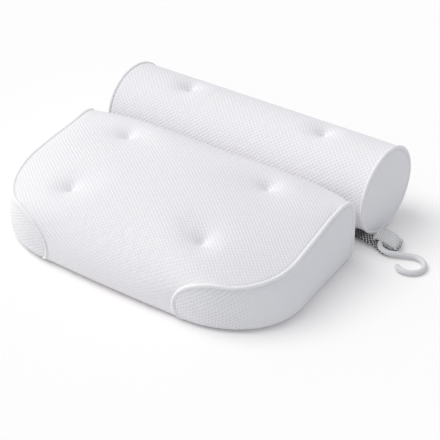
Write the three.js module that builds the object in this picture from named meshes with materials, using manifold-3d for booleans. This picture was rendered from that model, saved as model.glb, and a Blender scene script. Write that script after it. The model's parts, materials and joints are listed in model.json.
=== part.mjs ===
// A two-section bath pillow, in millimetres with +Z up: a crowned back pad, a round neck roll hinged
// behind it, sewn tufts, suction cups underneath, and an S-hook on a strap at the right-hand end.
import * as THREE from "three";
import { mergeVertices } from "three/addons/utils/BufferGeometryUtils.js";
import Module from "manifold-3d";

const wasm = await Module();
wasm.setup();

// Cloth and seams
const CLEAR = 0.3; // gap between pieces that lie against each other
const COVER = 3; // thickness of the air mesh and of the gussets
const PIPING_RADIUS = 1.8;
const PIPING_ROOM = 1.3; // gap between the pad's piping and its cloth, which leaves room at the sharp tips
const BELLY_LIFT = 4; // height of the underside above the rims of the suction cups

// Back pad, with Y running from the hinge line towards the roll
const PAD_HALF_WIDTH = 185;
const PAD_LENGTH = 218; // hinge line to front face
const PAD_CORNER = 92; // radius of the front corners seen from above
const PAD_REAR = 20; // set-back of the rear corners from the hinge line
const PAD_REAR_TAPER = 4; // how much narrower each side is at the rear
const GUSSET_LEAN = 6; // how far a gusset leans in at its rear upper edge
const GUSSET_TUCK = 3; // how far it draws in at the bottom seam
const BELLY_HEIGHT = 25; // height at which the sides stand out furthest
const GUSSET_REAR = 77; // height of the gusset's upper seam at the rear
const GUSSET_FRONT = 54; // and round the front corner
const SHOULDER_HEIGHT = 46; // where the seam turns down the front face
const BROW_HEIGHT = 43; // where the top turns down the front face in the middle
const TIP_HEIGHT = 21; // where the gusset's tip reaches furthest across the front
const TIP_TO_MIDDLE = 87;
const TIP_ROUND = 22; // how far the upper seam takes to turn round the tip
const CROWN_REAR = 93; // height of the pad along its middle
const CROWN_FRONT = 84;
const CROWN_SHARPNESS = 3; // how flat the crown stays before it falls to the seams
const REAR_SHARPNESS = 6; // the same for the straighter rear wall
const REAR_EDGE_HEIGHT = 76;
const REAR_EDGE_SETBACK = 9;

// Neck roll
const ROLL_HALF_LENGTH = 177;
const ROLL_HALF_DEPTH = 53.5;
const ROLL_HALF_HEIGHT = 50;
const ROLL_FLAT = 1.8; // how far the roll is pressed flat underneath
const ROLL_TO_PAD = 1.5; // gap between the roll's front and the hinge line
const ROLL_CAP_BULGE = 4;

// Tufts and suction cups
const TUFT_DEPTH = 8;
const TUFT_REACH = 34; // radius of the cloth drawn in round a tuft
const TUFT_COLUMN = 0.535; // place of a pad tuft between the middle and the seam
const ROLL_TUFT_INSET = 84; // from each end of the roll to its tuft
const KNOT_RADIUS = 2.5;
const KNOT_RISE = 1.2;
const STITCH_RADIUS = 1.2;
const CUP_RADIUS = 26;
const CUP_DRAW = 7; // how far a cup's stem draws the back cover in
const CUP_REACH = 30;
const CUP_RIM = 4; // width of the flat ring that a cup seals with
const CUP_HOLLOW = 2.8;
const CUP_LIP = 0.9; // thickness of the cup at its rim
const STEM_RADIUS = 5;
const HEAD_RADIUS = 8;
const HEAD_HEIGHT = 4;
const HEAD_CHAMFER = 1;
const STEM_SLACK = 1.5; // free length of the stem above the cloth
const STEM_BELOW = 2; // free length of the stem below the cloth

// Cloth hinge and hanger
const HINGE_HEIGHT = 6.5;
const HINGE_NOSE = 2.2; // radius of the sewn welt on the hinge line
const WEB_HALF_THICKNESS = 1.2;
const WEB_SHORT = 20; // how far the web stops short of each end of the roll
const TAPE = 2; // thickness of the strap's tape
const TAPE_WIDTH = 13;
const TAIL_TO_ROLL = 3.9; // gap between the strap's tail and the roll above it
const TAIL_LIFT = 1.6; // height of the tail's middle above the underside
const TAIL_PAST_CAP = 2; // how far the strap's sewn end stands out past the roll
const LOOP_LENGTH = 30;
const LOOP_HEIGHT = 17;
const LOOP_SKEW = 0.38; // sideways shift of the loop for each millimetre of height
const ROD_RADIUS = 3;
const CURL_RADIUS = 14; // middle of the rod, in the curl that the strap holds
const CURL_ALONG_LOOP = 8.7; // from the sewn end to the rod inside the loop
const BEND_RADIUS = 15.5; // middle of the rod, in the open bend
const BEND_FROM_CURL_X = 32; // between the middles of the curl and the bend
const BEND_FROM_CURL_Y = -18;
const CURL_TURN = 215; // degrees of each bend from the straight shank
const BEND_TURN = 242;

// Numbers of facets
const RUN_ROWS = 17;
const FACE_ROWS = 7;
const ROLL_FACETS = 24;
const CAP_RINGS = 3;
const ROUND = 12;
const PIPING_SIDES = 6;
const ROD_SIDES = 8;
const ROD_STEPS = 44;
const ARC_STEP = 0.35; // radians between the points that guide the rod
const LOOP_STEPS = 40;
const MITRE_TURNS = 40;

const mix = THREE.MathUtils.lerp;
const point = (x, y, z) => new THREE.Vector3(x, y, z);
const mirrored = (p) => point(-p.x, p.y, p.z);
const range = (count) => Array.from({ length: count + 1 }, (_, i) => i);

const MATERIALS = {
  mesh: new THREE.MeshStandardMaterial({ color: 0xf1f1ee, roughness: 0.9, metalness: 0 }),
  gusset: new THREE.MeshStandardMaterial({ color: 0xe9e9e7, roughness: 0.85, metalness: 0 }),
  piping: new THREE.MeshStandardMaterial({ color: 0xf5f5f3, roughness: 0.7, metalness: 0 }),
  foam: new THREE.MeshStandardMaterial({ color: 0xe8e4d8, roughness: 0.95, metalness: 0 }),
  thread: new THREE.MeshStandardMaterial({ color: 0xdededa, roughness: 0.8, metalness: 0 }),
  cup: new THREE.MeshStandardMaterial({ color: 0xd6dde0, roughness: 0.15, metalness: 0 }),
  tape: new THREE.MeshStandardMaterial({ color: 0xd9d9d6, roughness: 0.85, metalness: 0 }),
  hook: new THREE.MeshStandardMaterial({ color: 0xdfe1e0, roughness: 0.35, metalness: 0 }),
};

const pillow = new THREE.Group();

function addPiece(name, geometry, material) {
  const mesh = new THREE.Mesh(geometry, MATERIALS[material]);
  mesh.name = name;
  pillow.add(mesh);
}

// Booleans

function welded(geometry) {
  const bare = geometry.clone();
  bare.deleteAttribute("normal");
  bare.deleteAttribute("uv");
  return mergeVertices(bare, 1e-4);
}

function solidOf(geometry) {
  const bare = welded(geometry);
  const vertProperties = new Float32Array(bare.attributes.position.array);
  const triVerts = new Uint32Array(bare.index.array);
  return new wasm.Manifold(new wasm.Mesh({ numProp: 3, vertProperties, triVerts }));
}

function geometryOf(solid) {
  const { vertProperties, triVerts } = solid.getMesh();
  const geometry = new THREE.BufferGeometry();
  geometry.setAttribute("position", new THREE.BufferAttribute(vertProperties, 3));
  geometry.setIndex(new THREE.BufferAttribute(triVerts, 1));
  return geometry;
}

function cut(geometry, cutters) {
  return geometryOf(cutters.reduce((left, cutter) => left.subtract(solidOf(cutter)), solidOf(geometry)));
}

function post(at, radius, bottom, top) {
  const cylinder = new THREE.CylinderGeometry(radius, radius, top - bottom, ROUND);
  cylinder.rotateX(Math.PI / 2);
  return cylinder.translate(at.x, at.y, (bottom + top) / 2);
}

function turned(profile, at) {
  const lathe = new THREE.LatheGeometry(profile.map(([r, z]) => new THREE.Vector2(r, z)), ROUND);
  lathe.rotateX(Math.PI / 2);
  return welded(lathe.translate(at.x, at.y, 0));
}

function tube(points, radius, steps, sides) {
  const section = new THREE.Shape();
  section.absarc(0, 0, radius, 0, 2 * Math.PI);
  const extrudePath = new THREE.CatmullRomCurve3(points);
  return welded(new THREE.ExtrudeGeometry(section, { steps, curveSegments: sides / 2, extrudePath }));
}

const piping = (seam) => tube(seam, PIPING_RADIUS, 2 * seam.length, PIPING_SIDES);

// A closed skin of cloth, pieced from grids of points that share their edges. Panels are cut from it,
// and the foam inside is the whole skin set in.
class Skin {
  constructor(pipingGap) {
    this.pipingGap = pipingGap;
    this.points = [];
    this.facings = [];
    this.faces = [];
    this.known = new Map();
  }

  corner(p) {
    const key = [p.x, p.y, p.z].map((c) => Math.round(c * 1000)).join();
    if (!this.known.has(key)) {
      this.known.set(key, this.points.length);
      this.points.push(p);
      this.facings.push([]);
    }
    return this.known.get(key);
  }

  crossOf([a, b, c]) {
    const side = this.points[b].clone().sub(this.points[a]);
    return side.cross(this.points[c].clone().sub(this.points[a]));
  }

  // Adds a grid of points, and returns its faces for the panel that is cut from them.
  patch(rows, flipped) {
    const ids = rows.map((row) => row.map((p) => this.corner(p)));
    const added = [];
    for (let i = 0; i + 1 < ids.length; i++) {
      for (let j = 0; j + 1 < ids[i].length; j++) {
        const [a, b, c, d] = [ids[i][j], ids[i + 1][j], ids[i + 1][j + 1], ids[i][j + 1]];
        const pair = [[a, b, c], [a, c, d]].filter((face) => new Set(face).size === 3);
        added.push(...pair.map((face) => (flipped ? face.reverse() : face)));
      }
    }
    const facing = new Map();
    for (const face of added) {
      const cross = this.crossOf(face);
      face.forEach((id) => facing.set(id, (facing.get(id) ?? point(0, 0, 0)).add(cross)));
    }
    facing.forEach((sum, id) => this.facings[id].push(sum.normalize()));
    this.faces.push(...added);
    return added;
  }

  // The point at a depth under every patch that meets at a corner, found by moving to each in turn.
  setIn(id, depth) {
    const shift = point(0, 0, 0);
    for (let turn = 0; turn < MITRE_TURNS; turn++) {
      this.facings[id].forEach((facing) => shift.addScaledVector(facing, -depth - shift.dot(facing)));
    }
    return this.points[id].clone().add(shift);
  }

  core() {
    const geometry = new THREE.BufferGeometry();
    geometry.setFromPoints(this.points.map((_, id) => this.setIn(id, COVER + CLEAR)));
    geometry.setIndex(this.faces.flat());
    return geometry;
  }

  // The directed edges round the given faces, each with the direction that leads into the panel.
  rimOf(faces) {
    const edges = new Map();
    for (const face of faces) {
      const upright = this.crossOf(face).normalize();
      face.forEach((p, i) => {
        const q = face[(i + 1) % 3];
        const along = this.points[q].clone().sub(this.points[p]).normalize();
        edges.set(`${p} ${q}`, { p, q, inward: upright.clone().cross(along) });
      });
    }
    return [...edges.values()].filter(({ p, q }) => !edges.has(`${q} ${p}`));
  }

  // A panel of cloth with its edges trimmed: by the width of the piping at the piped corners, and
  // elsewhere by half of the gap between two panels.
  panel(faces, piped) {
    const rim = this.rimOf(faces);
    const trims = new Map();
    for (const { p, q, inward } of rim) {
      for (const id of [p, q]) {
        trims.set(id, (trims.get(id) ?? point(0, 0, 0)).add(inward));
      }
    }
    // Two edges meet at each corner: the sum of their directions, over its half length squared, keeps
    // the trim square to both.
    trims.forEach((sum) => sum.multiplyScalar(2 / sum.lengthSq()));
    const used = [...new Set(faces.flat())];
    const place = new Map(used.map((id, i) => [id, i]));
    const outer = used.map((id) => {
      const width = piped.has(id) ? PIPING_RADIUS + this.pipingGap : CLEAR / 2;
      return this.points[id].clone().addScaledVector(trims.get(id) ?? point(0, 0, 0), width);
    });
    const inner = used.map((id) => {
      return this.setIn(id, COVER).addScaledVector(trims.get(id) ?? point(0, 0, 0), CLEAR / 2);
    });
    const under = (id) => place.get(id) + used.length;
    const index = faces.flatMap(([a, b, c]) => [
      ...[a, b, c].map((id) => place.get(id)),
      ...[c, b, a].map(under),
    ]);
    for (const { p, q } of rim) {
      index.push(place.get(q), place.get(p), under(p), place.get(q), under(p), under(q));
    }
    const geometry = new THREE.BufferGeometry().setFromPoints([...outer, ...inner]);
    geometry.setIndex(index);
    return geometry;
  }
}

// Depth of the cloth drawn in at a distance from a tuft, sharp in the middle, and round a cup's stem,
// flat in the middle.
const tuftDraw = (away) => TUFT_DEPTH * Math.max(0, 1 - away / TUFT_REACH) ** 2;
const cupDraw = (away) => CUP_DRAW * Math.max(0, 1 - (away / CUP_REACH) ** 2) ** 2;
const drawn = (p, centres, draw) => {
  return Math.max(0, ...centres.map((c) => draw(Math.hypot(p.x - c.x, p.y - c.y))));
};

// A stitch from a cup's head up to its knot, and the cup itself
const CUP_SHOULDER = BELLY_LIFT + CUP_DRAW - STEM_BELOW;
const HEAD_BASE = BELLY_LIFT + CUP_DRAW + COVER + STEM_SLACK;
const HEAD_TOP = HEAD_BASE + HEAD_HEIGHT;

function stitchProfile(top) {
  const waist = top - KNOT_RISE;
  return [
    [0, HEAD_TOP + CLEAR],
    [STITCH_RADIUS, HEAD_TOP + CLEAR],
    [STITCH_RADIUS, waist],
    [KNOT_RADIUS, waist],
    [KNOT_RADIUS, top],
    [KNOT_RADIUS / 2, top + KNOT_RISE],
    [0, top + KNOT_RISE],
  ];
}

function cupProfile() {
  return [
    [0, CUP_HOLLOW],
    [CUP_RADIUS / 3, 0.85 * CUP_HOLLOW],
    [CUP_RADIUS - CUP_RIM, 0],
    [CUP_RADIUS, 0],
    [CUP_RADIUS, CUP_LIP],
    [0.7 * CUP_RADIUS, 0.35 * CUP_SHOULDER],
    [0.4 * CUP_RADIUS, 0.7 * CUP_SHOULDER],
    [STEM_RADIUS, CUP_SHOULDER],
    [STEM_RADIUS, HEAD_BASE],
    [HEAD_RADIUS, HEAD_BASE],
    [HEAD_RADIUS, HEAD_TOP - HEAD_CHAMFER],
    [HEAD_RADIUS - HEAD_CHAMFER, HEAD_TOP],
    [0, HEAD_TOP],
  ];
}

const knotHoles = (tufts) => tufts.map((at) => post(at, KNOT_RADIUS + CLEAR, HEAD_BASE, at.z + COVER));
const stemHoles = (tufts) => tufts.map((at) => post(at, STEM_RADIUS + CLEAR, 0, HEAD_BASE + CLEAR));
const headPockets = (tufts) => tufts.map((at) => post(at, HEAD_RADIUS + CLEAR, 0, HEAD_TOP + CLEAR));

function addTufts(owner, tufts) {
  for (const { name, at } of tufts) {
    addPiece(`${owner}_stitch_${name}`, turned(stitchProfile(at.z), at), "thread");
    addPiece(`${owner}_cup_${name}`, turned(cupProfile(), at), "cup");
  }
}

// The pad's wall, by the distance along its outline from the rear corner and the height

const SIDE_RUN = PAD_LENGTH - PAD_CORNER - PAD_REAR;
const CORNER_RUN = (PAD_CORNER * Math.PI) / 2;

function outline(run) {
  const corner = new THREE.Vector2(PAD_HALF_WIDTH - PAD_CORNER, PAD_CORNER - PAD_LENGTH);
  const turn = THREE.MathUtils.clamp((run - SIDE_RUN) / CORNER_RUN, 0, 1) * (Math.PI / 2);
  const out = new THREE.Vector2(Math.cos(turn), -Math.sin(turn));
  const at = corner.clone().addScaledVector(out, PAD_CORNER);
  at.y += Math.max(0, SIDE_RUN - run);
  at.x -= Math.max(0, run - SIDE_RUN - CORNER_RUN);
  return { at, out };
}

function wallPoint({ x: run, y: height }) {
  const { at, out } = outline(run);
  const above = Math.max(0, height - BELLY_HEIGHT) / (GUSSET_REAR - BELLY_HEIGHT);
  const below = Math.max(0, BELLY_HEIGHT - height) / (BELLY_HEIGHT - BELLY_LIFT);
  const taper = PAD_REAR_TAPER * Math.max(0, 1 - run / SIDE_RUN) ** 2;
  at.addScaledVector(out, -GUSSET_LEAN * above ** 2 - GUSSET_TUCK * below ** 2 - taper);
  return point(at.x, at.y, height);
}

// The gusset's upper seam, in the wall's run and height: along the side, then down the front face
const TIP_RUN = SIDE_RUN + CORNER_RUN + PAD_HALF_WIDTH - PAD_CORNER - TIP_TO_MIDDLE;
const SHOULDER_RUN = TIP_RUN - TIP_ROUND;

function seamAlongSide() {
  const fall = (share) => mix(GUSSET_REAR, GUSSET_FRONT, share);
  return new THREE.SplineCurve([
    new THREE.Vector2(0, GUSSET_REAR),
    new THREE.Vector2(0.35 * SIDE_RUN, fall(0)),
    new THREE.Vector2(0.95 * SIDE_RUN, fall(0.44)),
    new THREE.Vector2(SIDE_RUN + 0.26 * CORNER_RUN, fall(0.86)),
    new THREE.Vector2(SIDE_RUN + 0.6 * CORNER_RUN, fall(1)),
    new THREE.Vector2(SHOULDER_RUN - TIP_ROUND, mix(GUSSET_FRONT, SHOULDER_HEIGHT, 0.1)),
    new THREE.Vector2(SHOULDER_RUN, SHOULDER_HEIGHT),
  ]);
}

function seamDownFace() {
  return new THREE.SplineCurve([
    new THREE.Vector2(SHOULDER_RUN, SHOULDER_HEIGHT),
    new THREE.Vector2(TIP_RUN - 0.28 * TIP_ROUND, mix(TIP_HEIGHT, SHOULDER_HEIGHT, 0.56)),
    new THREE.Vector2(TIP_RUN, TIP_HEIGHT),
    new THREE.Vector2(TIP_RUN - 0.15 * TIP_ROUND, mix(TIP_HEIGHT, BELLY_LIFT, 0.66)),
    new THREE.Vector2(TIP_RUN - 0.6 * TIP_ROUND, BELLY_LIFT),
  ]);
}

// The pad's middle line: over the crown, then down the front face
function crownLine() {
  return new THREE.CatmullRomCurve3([
    point(0, -REAR_EDGE_SETBACK, REAR_EDGE_HEIGHT),
    point(0, -0.13 * PAD_LENGTH, mix(REAR_EDGE_HEIGHT, CROWN_REAR, 0.85)),
    point(0, -0.3 * PAD_LENGTH, CROWN_REAR),
    point(0, -0.75 * PAD_LENGTH, CROWN_FRONT),
    point(0, -0.93 * PAD_LENGTH, mix(BROW_HEIGHT, CROWN_FRONT, 0.62)),
    point(0, -PAD_LENGTH, BROW_HEIGHT),
  ]);
}

function faceLine() {
  return new THREE.CatmullRomCurve3([
    point(0, -PAD_LENGTH, BROW_HEIGHT),
    point(0, -PAD_LENGTH - GUSSET_TUCK, BELLY_HEIGHT),
    point(0, -PAD_LENGTH + GUSSET_TUCK, BELLY_LIFT),
  ]);
}

// Rows across the pad run from seam to seam over a middle point.
const REAR_TUFT_ROW = 4;
const FRONT_TUFT_ROW = 12;
const BESIDE_TUFT = 0.075;
const PAD_COLUMNS = [-2, -1, 0, 1, 2].map((step) => TUFT_COLUMN + step * BESIDE_TUFT);
PAD_COLUMNS.unshift(0, PAD_COLUMNS[0] / 2);
PAD_COLUMNS.push(mix(PAD_COLUMNS.at(-1), 1, 0.55), 1);
const ACROSS = [...PAD_COLUMNS.slice(1).reverse().map((c) => -c), ...PAD_COLUMNS];

function acrossRow({ edge, centre, sharpness }, column) {
  const share = Math.abs(column) ** sharpness;
  return point(column * edge.x, mix(centre.y, edge.y, share), mix(centre.z, edge.z, share));
}

const sharpnessOf = (row) => CROWN_SHARPNESS + (REAR_SHARPNESS - CROWN_SHARPNESS) * 0.4 ** row;

function seamPlaces() {
  const side = seamAlongSide().getSpacedPoints(RUN_ROWS);
  const face = seamDownFace().getSpacedPoints(FACE_ROWS);
  return [...side, ...face.slice(1)];
}

function topRows(places) {
  const run = crownLine().getSpacedPoints(RUN_ROWS);
  const face = faceLine().getSpacedPoints(FACE_ROWS);
  const centres = [...run, ...face.slice(1)];
  return places.map((place, i) => ({
    edge: wallPoint(place),
    centre: centres[i],
    sharpness: sharpnessOf(i),
  }));
}

// The underside's rows stand below the upper ones, and pass under the tufts.
function backRows(places, top, tufts) {
  const edges = range(RUN_ROWS - 1).map((i) => wallPoint(new THREE.Vector2(places[i].x, BELLY_LIFT)));
  const middleUnder = (row, tuft) => {
    const share = TUFT_COLUMN ** sharpnessOf(row);
    return (tuft.y - share * edges[row].y) / (1 - share);
  };
  const front = top.at(-1);
  const marks = [
    [0, -HINGE_NOSE - CLEAR],
    [REAR_TUFT_ROW, middleUnder(REAR_TUFT_ROW, tufts[0])],
    [FRONT_TUFT_ROW, middleUnder(FRONT_TUFT_ROW, tufts[2])],
    [RUN_ROWS, front.centre.y],
  ];
  const middle = (row) => {
    const next = marks.findIndex(([at]) => at > row);
    const [[from, start], [to, end]] = [marks[next - 1], marks[next]];
    return mix(start, end, (row - from) / (to - from));
  };
  const rows = edges.map((edge, i) => ({
    edge,
    centre: point(0, middle(i), BELLY_LIFT),
    sharpness: sharpnessOf(i),
  }));
  return [...rows, front];
}

function rearRows(top, back) {
  const swell = REAR_EDGE_SETBACK - HINGE_NOSE;
  const inside = range(FACE_ROWS).slice(1, -1).map((j) => {
    const share = j / FACE_ROWS;
    const centre = top.centre.clone().lerp(back.centre, share);
    centre.y = Math.min(-CLEAR, centre.y + swell * Math.sin(Math.PI * share) * 0.6);
    const place = new THREE.Vector2(0, mix(top.edge.z, BELLY_LIFT, share));
    return { edge: wallPoint(place), centre, sharpness: REAR_SHARPNESS };
  });
  return [top, ...inside, back];
}

// A gusset is stretched between its four sides: the upper seam, the tip, the bottom and the rear.
function gussetGrid(places) {
  const tip = places.slice(RUN_ROWS);
  const floorAt = (i) => new THREE.Vector2(i === RUN_ROWS ? tip.at(-1).x : places[i].x, BELLY_LIFT);
  return range(RUN_ROWS).map((i) => {
    const u = i / RUN_ROWS;
    return range(FACE_ROWS).map((j) => {
      const v = j / FACE_ROWS;
      const rear = new THREE.Vector2(0, mix(places[0].y, BELLY_LIFT, v));
      const ruled = places[i].clone().lerp(floorAt(i), v).add(rear.lerp(tip[j], u));
      const upper = places[0].clone().lerp(tip[0], u);
      const lower = floorAt(0).lerp(floorAt(RUN_ROWS), u);
      return wallPoint(ruled.sub(upper.lerp(lower, v)));
    });
  });
}

function addPad() {
  const places = seamPlaces();
  const top = topRows(places);
  const spots = [REAR_TUFT_ROW, FRONT_TUFT_ROW].flatMap((row) => {
    return [-TUFT_COLUMN, TUFT_COLUMN].map((column) => acrossRow(top[row], column));
  });
  const back = backRows(places, top, spots);
  const lowered = (p) => p.setZ(p.z - drawn(p, spots, tuftDraw));
  const raised = (p) => p.setZ(p.z + drawn(p, spots, cupDraw));
  const gridOf = (rows, shape) => rows.map((row) => ACROSS.map((c) => shape(acrossRow(row, c))));

  const skin = new Skin(PIPING_ROOM);
  const topFaces = skin.patch(gridOf(top, lowered), false);
  const backFaces = skin.patch(gridOf(back, raised), true);
  backFaces.push(...skin.patch(gridOf(rearRows(top[0], back[0]), (p) => p), true));
  const gusset = gussetGrid(places);
  const rightFaces = skin.patch(gusset, false);
  const leftFaces = skin.patch(gusset.map((row) => row.map(mirrored)), true);

  const seam = top.slice(1).map(({ edge }) => edge);
  const piped = new Set(seam.flatMap((p) => [skin.corner(p), skin.corner(mirrored(p))]));
  const tufts = spots.map((at) => at.clone().setZ(at.z - TUFT_DEPTH));
  addPiece("pad_core", cut(skin.core(), [...knotHoles(tufts), ...headPockets(tufts)]), "foam");
  addPiece("pad_top_cover", cut(skin.panel(topFaces, piped), knotHoles(tufts)), "mesh");
  addPiece("pad_back_cover", cut(skin.panel(backFaces, piped), stemHoles(tufts)), "mesh");
  addPiece("pad_gusset_right", skin.panel(rightFaces, piped), "gusset");
  addPiece("pad_gusset_left", skin.panel(leftFaces, piped), "gusset");
  addPiece("pad_piping_right", piping(seam), "piping");
  addPiece("pad_piping_left", piping(seam.map(mirrored)), "piping");
  const names = ["rear_left", "rear_right", "front_left", "front_right"];
  addTufts("pad", tufts.map((at, i) => ({ name: names[i], at })));
}

// Neck roll

const ROLL_AXIS_Y = ROLL_TO_PAD + ROLL_HALF_DEPTH;
const ROLL_AXIS_HEIGHT = BELLY_LIFT - ROLL_FLAT + ROLL_HALF_HEIGHT;
const ROLL_TUFT_X = ROLL_HALF_LENGTH - ROLL_TUFT_INSET;
const ROLL_COLUMNS = [0, 0.4, 0.7, 0.86, 1].map((share) => share * ROLL_TUFT_X);
ROLL_COLUMNS.push(...[0.16, 0.45, 1].map((share) => mix(ROLL_TUFT_X, ROLL_HALF_LENGTH, share)));
const ALONG_ROLL = [...ROLL_COLUMNS.slice(1).reverse().map((x) => -x), ...ROLL_COLUMNS];

function rollPoint(x, facet, size = 1) {
  const turn = (2 * Math.PI * facet) / ROLL_FACETS;
  const y = ROLL_AXIS_Y + size * ROLL_HALF_DEPTH * Math.cos(turn);
  const z = ROLL_AXIS_HEIGHT + size * ROLL_HALF_HEIGHT * Math.sin(turn);
  return point(x, y, Math.max(BELLY_LIFT, z));
}

// How far behind the hinge line the roll's front is at a height
function rollFrontAt(z) {
  const rise = (z - ROLL_AXIS_HEIGHT) / ROLL_HALF_HEIGHT;
  return ROLL_AXIS_Y - ROLL_HALF_DEPTH * Math.sqrt(1 - rise ** 2);
}

function addRoll() {
  const spots = [-1, 1].map((side) => point(side * ROLL_TUFT_X, ROLL_AXIS_Y, 0));
  const shaped = (p) => {
    const upper = p.z > ROLL_AXIS_HEIGHT;
    return p.setZ(p.z + (upper ? -drawn(p, spots, tuftDraw) : drawn(p, spots, cupDraw)));
  };
  const skin = new Skin(CLEAR);
  const wrapFaces = skin.patch(
    range(ROLL_FACETS).map((facet) => ALONG_ROLL.map((x) => shaped(rollPoint(x, facet)))),
    false,
  );
  const capGrid = (side) => range(CAP_RINGS).map((ring) => {
    const size = 1 - ring / CAP_RINGS;
    const x = side * (ROLL_HALF_LENGTH + ROLL_CAP_BULGE * (1 - size ** 2));
    return range(ROLL_FACETS).map((facet) => rollPoint(x, facet, size));
  });
  const rightFaces = skin.patch(capGrid(1), true);
  const leftFaces = skin.patch(capGrid(-1), false);

  const rimAt = (side, facet) => rollPoint(side * ROLL_HALF_LENGTH, facet);
  const rim = range(ROLL_FACETS).flatMap((facet) => [rimAt(-1, facet), rimAt(1, facet)]);
  const piped = new Set(rim.map((p) => skin.corner(p)));
  // A piping's two ends meet low on the side that faces the pad.
  const joint = Math.round((7 / 12) * ROLL_FACETS);
  const ringOf = (side) => range(ROLL_FACETS - 1).map((i) => rimAt(side, joint + i));
  const crest = ROLL_AXIS_HEIGHT + ROLL_HALF_HEIGHT - TUFT_DEPTH;
  const tufts = spots.map((at) => at.clone().setZ(crest));
  const wrap = skin.panel(wrapFaces, piped);
  addPiece("roll_core", cut(skin.core(), [...knotHoles(tufts), ...headPockets(tufts)]), "foam");
  addPiece("roll_wrap", cut(wrap, [...knotHoles(tufts), ...stemHoles(tufts)]), "mesh");
  addPiece("roll_end_right", skin.panel(rightFaces, piped), "gusset");
  addPiece("roll_end_left", skin.panel(leftFaces, piped), "gusset");
  addPiece("roll_piping_right", piping(ringOf(1)), "piping");
  addPiece("roll_piping_left", piping(ringOf(-1)), "piping");
  addTufts("roll", tufts.map((at, i) => ({ name: ["left", "right"][i], at })));
}

// The cloth hinge: a welt on the hinge line with a flat web that runs back to the underside of the roll
const WEB_HALF_LENGTH = ROLL_HALF_LENGTH - WEB_SHORT;

function addHinge() {
  const low = HINGE_HEIGHT - WEB_HALF_THICKNESS;
  const high = HINGE_HEIGHT + WEB_HALF_THICKNESS;
  const start = Math.asin(WEB_HALF_THICKNESS / HINGE_NOSE);
  const section = new THREE.Shape();
  section.absarc(0, HINGE_HEIGHT, HINGE_NOSE, start, -start + 2 * Math.PI);
  section.lineTo(rollFrontAt(low) - CLEAR, low);
  section.lineTo(rollFrontAt(high) - CLEAR, high);
  const web = new THREE.ExtrudeGeometry(section, {
    depth: 2 * WEB_HALF_LENGTH,
    bevelEnabled: false,
    curveSegments: ROUND,
  });
  web.rotateX(Math.PI / 2);
  web.rotateZ(Math.PI / 2);
  addPiece("hinge_web", welded(web.translate(-WEB_HALF_LENGTH, 0, 0)), "gusset");
}

// The strap: a sewn tail in the channel under the roll, and a loop that lies beyond the roll's end

const TAIL_HEIGHT = BELLY_LIFT + TAIL_LIFT;
const TAPE_FAR_EDGE = rollFrontAt(TAIL_HEIGHT + TAPE + CLEAR / 2) - TAIL_TO_ROLL;
const TAPE_NEAR_EDGE = TAPE_FAR_EDGE - TAPE_WIDTH;
const TAPE_MIDDLE = (TAPE_NEAR_EDGE + TAPE_FAR_EDGE) / 2;
const TAIL_END = ROLL_HALF_LENGTH + ROLL_CAP_BULGE + TAIL_PAST_CAP;
const LOOP_START = TAIL_END + CLEAR;

function addStrap() {
  const length = TAIL_END - WEB_HALF_LENGTH - CLEAR;
  const tail = new THREE.BoxGeometry(length, TAPE_WIDTH, 2 * TAPE + CLEAR);
  tail.translate(TAIL_END - length / 2, TAPE_MIDDLE, TAIL_HEIGHT);
  addPiece("strap_tail", welded(tail), "tape");

  const start = LOOP_START;
  const end = start + LOOP_LENGTH;
  const floor = CLEAR + TAPE / 2;
  const lower = TAIL_HEIGHT - (TAPE + CLEAR) / 2;
  const upper = TAIL_HEIGHT + (TAPE + CLEAR) / 2;
  const route = new THREE.CatmullRomCurve3([
    point(start, 0, lower),
    point(start + TAPE, 0, lower),
    point(start + 0.28 * LOOP_LENGTH, 0, floor + CLEAR),
    point(start + 0.5 * LOOP_LENGTH, 0, floor),
    point(end - 0.28 * LOOP_LENGTH, 0, floor),
    point(end - TAPE / 2, 0, 0.4 * LOOP_HEIGHT),
    point(end - 0.3 * LOOP_LENGTH, 0, 0.76 * LOOP_HEIGHT),
    point(start + 0.35 * LOOP_LENGTH, 0, LOOP_HEIGHT - TAPE / 2),
    point(start + 0.16 * LOOP_LENGTH, 0, 0.75 * LOOP_HEIGHT),
    point(start + TAPE, 0, upper),
    point(start, 0, upper),
  ]);
  const section = new THREE.Shape();
  section.moveTo(-TAPE_WIDTH / 2, -TAPE / 2);
  section.lineTo(TAPE_WIDTH / 2, -TAPE / 2);
  section.lineTo(TAPE_WIDTH / 2, TAPE / 2);
  section.lineTo(-TAPE_WIDTH / 2, TAPE / 2);
  const loop = new THREE.ExtrudeGeometry(section, { steps: LOOP_STEPS, extrudePath: route });
  loop.applyMatrix4(new THREE.Matrix4().makeShear(0, 0, 0, 0, 0, LOOP_SKEW));
  addPiece("strap_loop", welded(loop.translate(0, TAPE_MIDDLE, 0)), "tape");
}

// The S-hook: a curl that the strap holds and a wider open bend, joined by a straight shank

function arcPoints(centre, radius, from, to) {
  const steps = Math.ceil(Math.abs(to - from) / ARC_STEP);
  return range(steps).map((i) => {
    const turn = mix(from, to, i / steps);
    return point(centre.x + radius * Math.cos(turn), centre.y + radius * Math.sin(turn), 0);
  });
}

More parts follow.
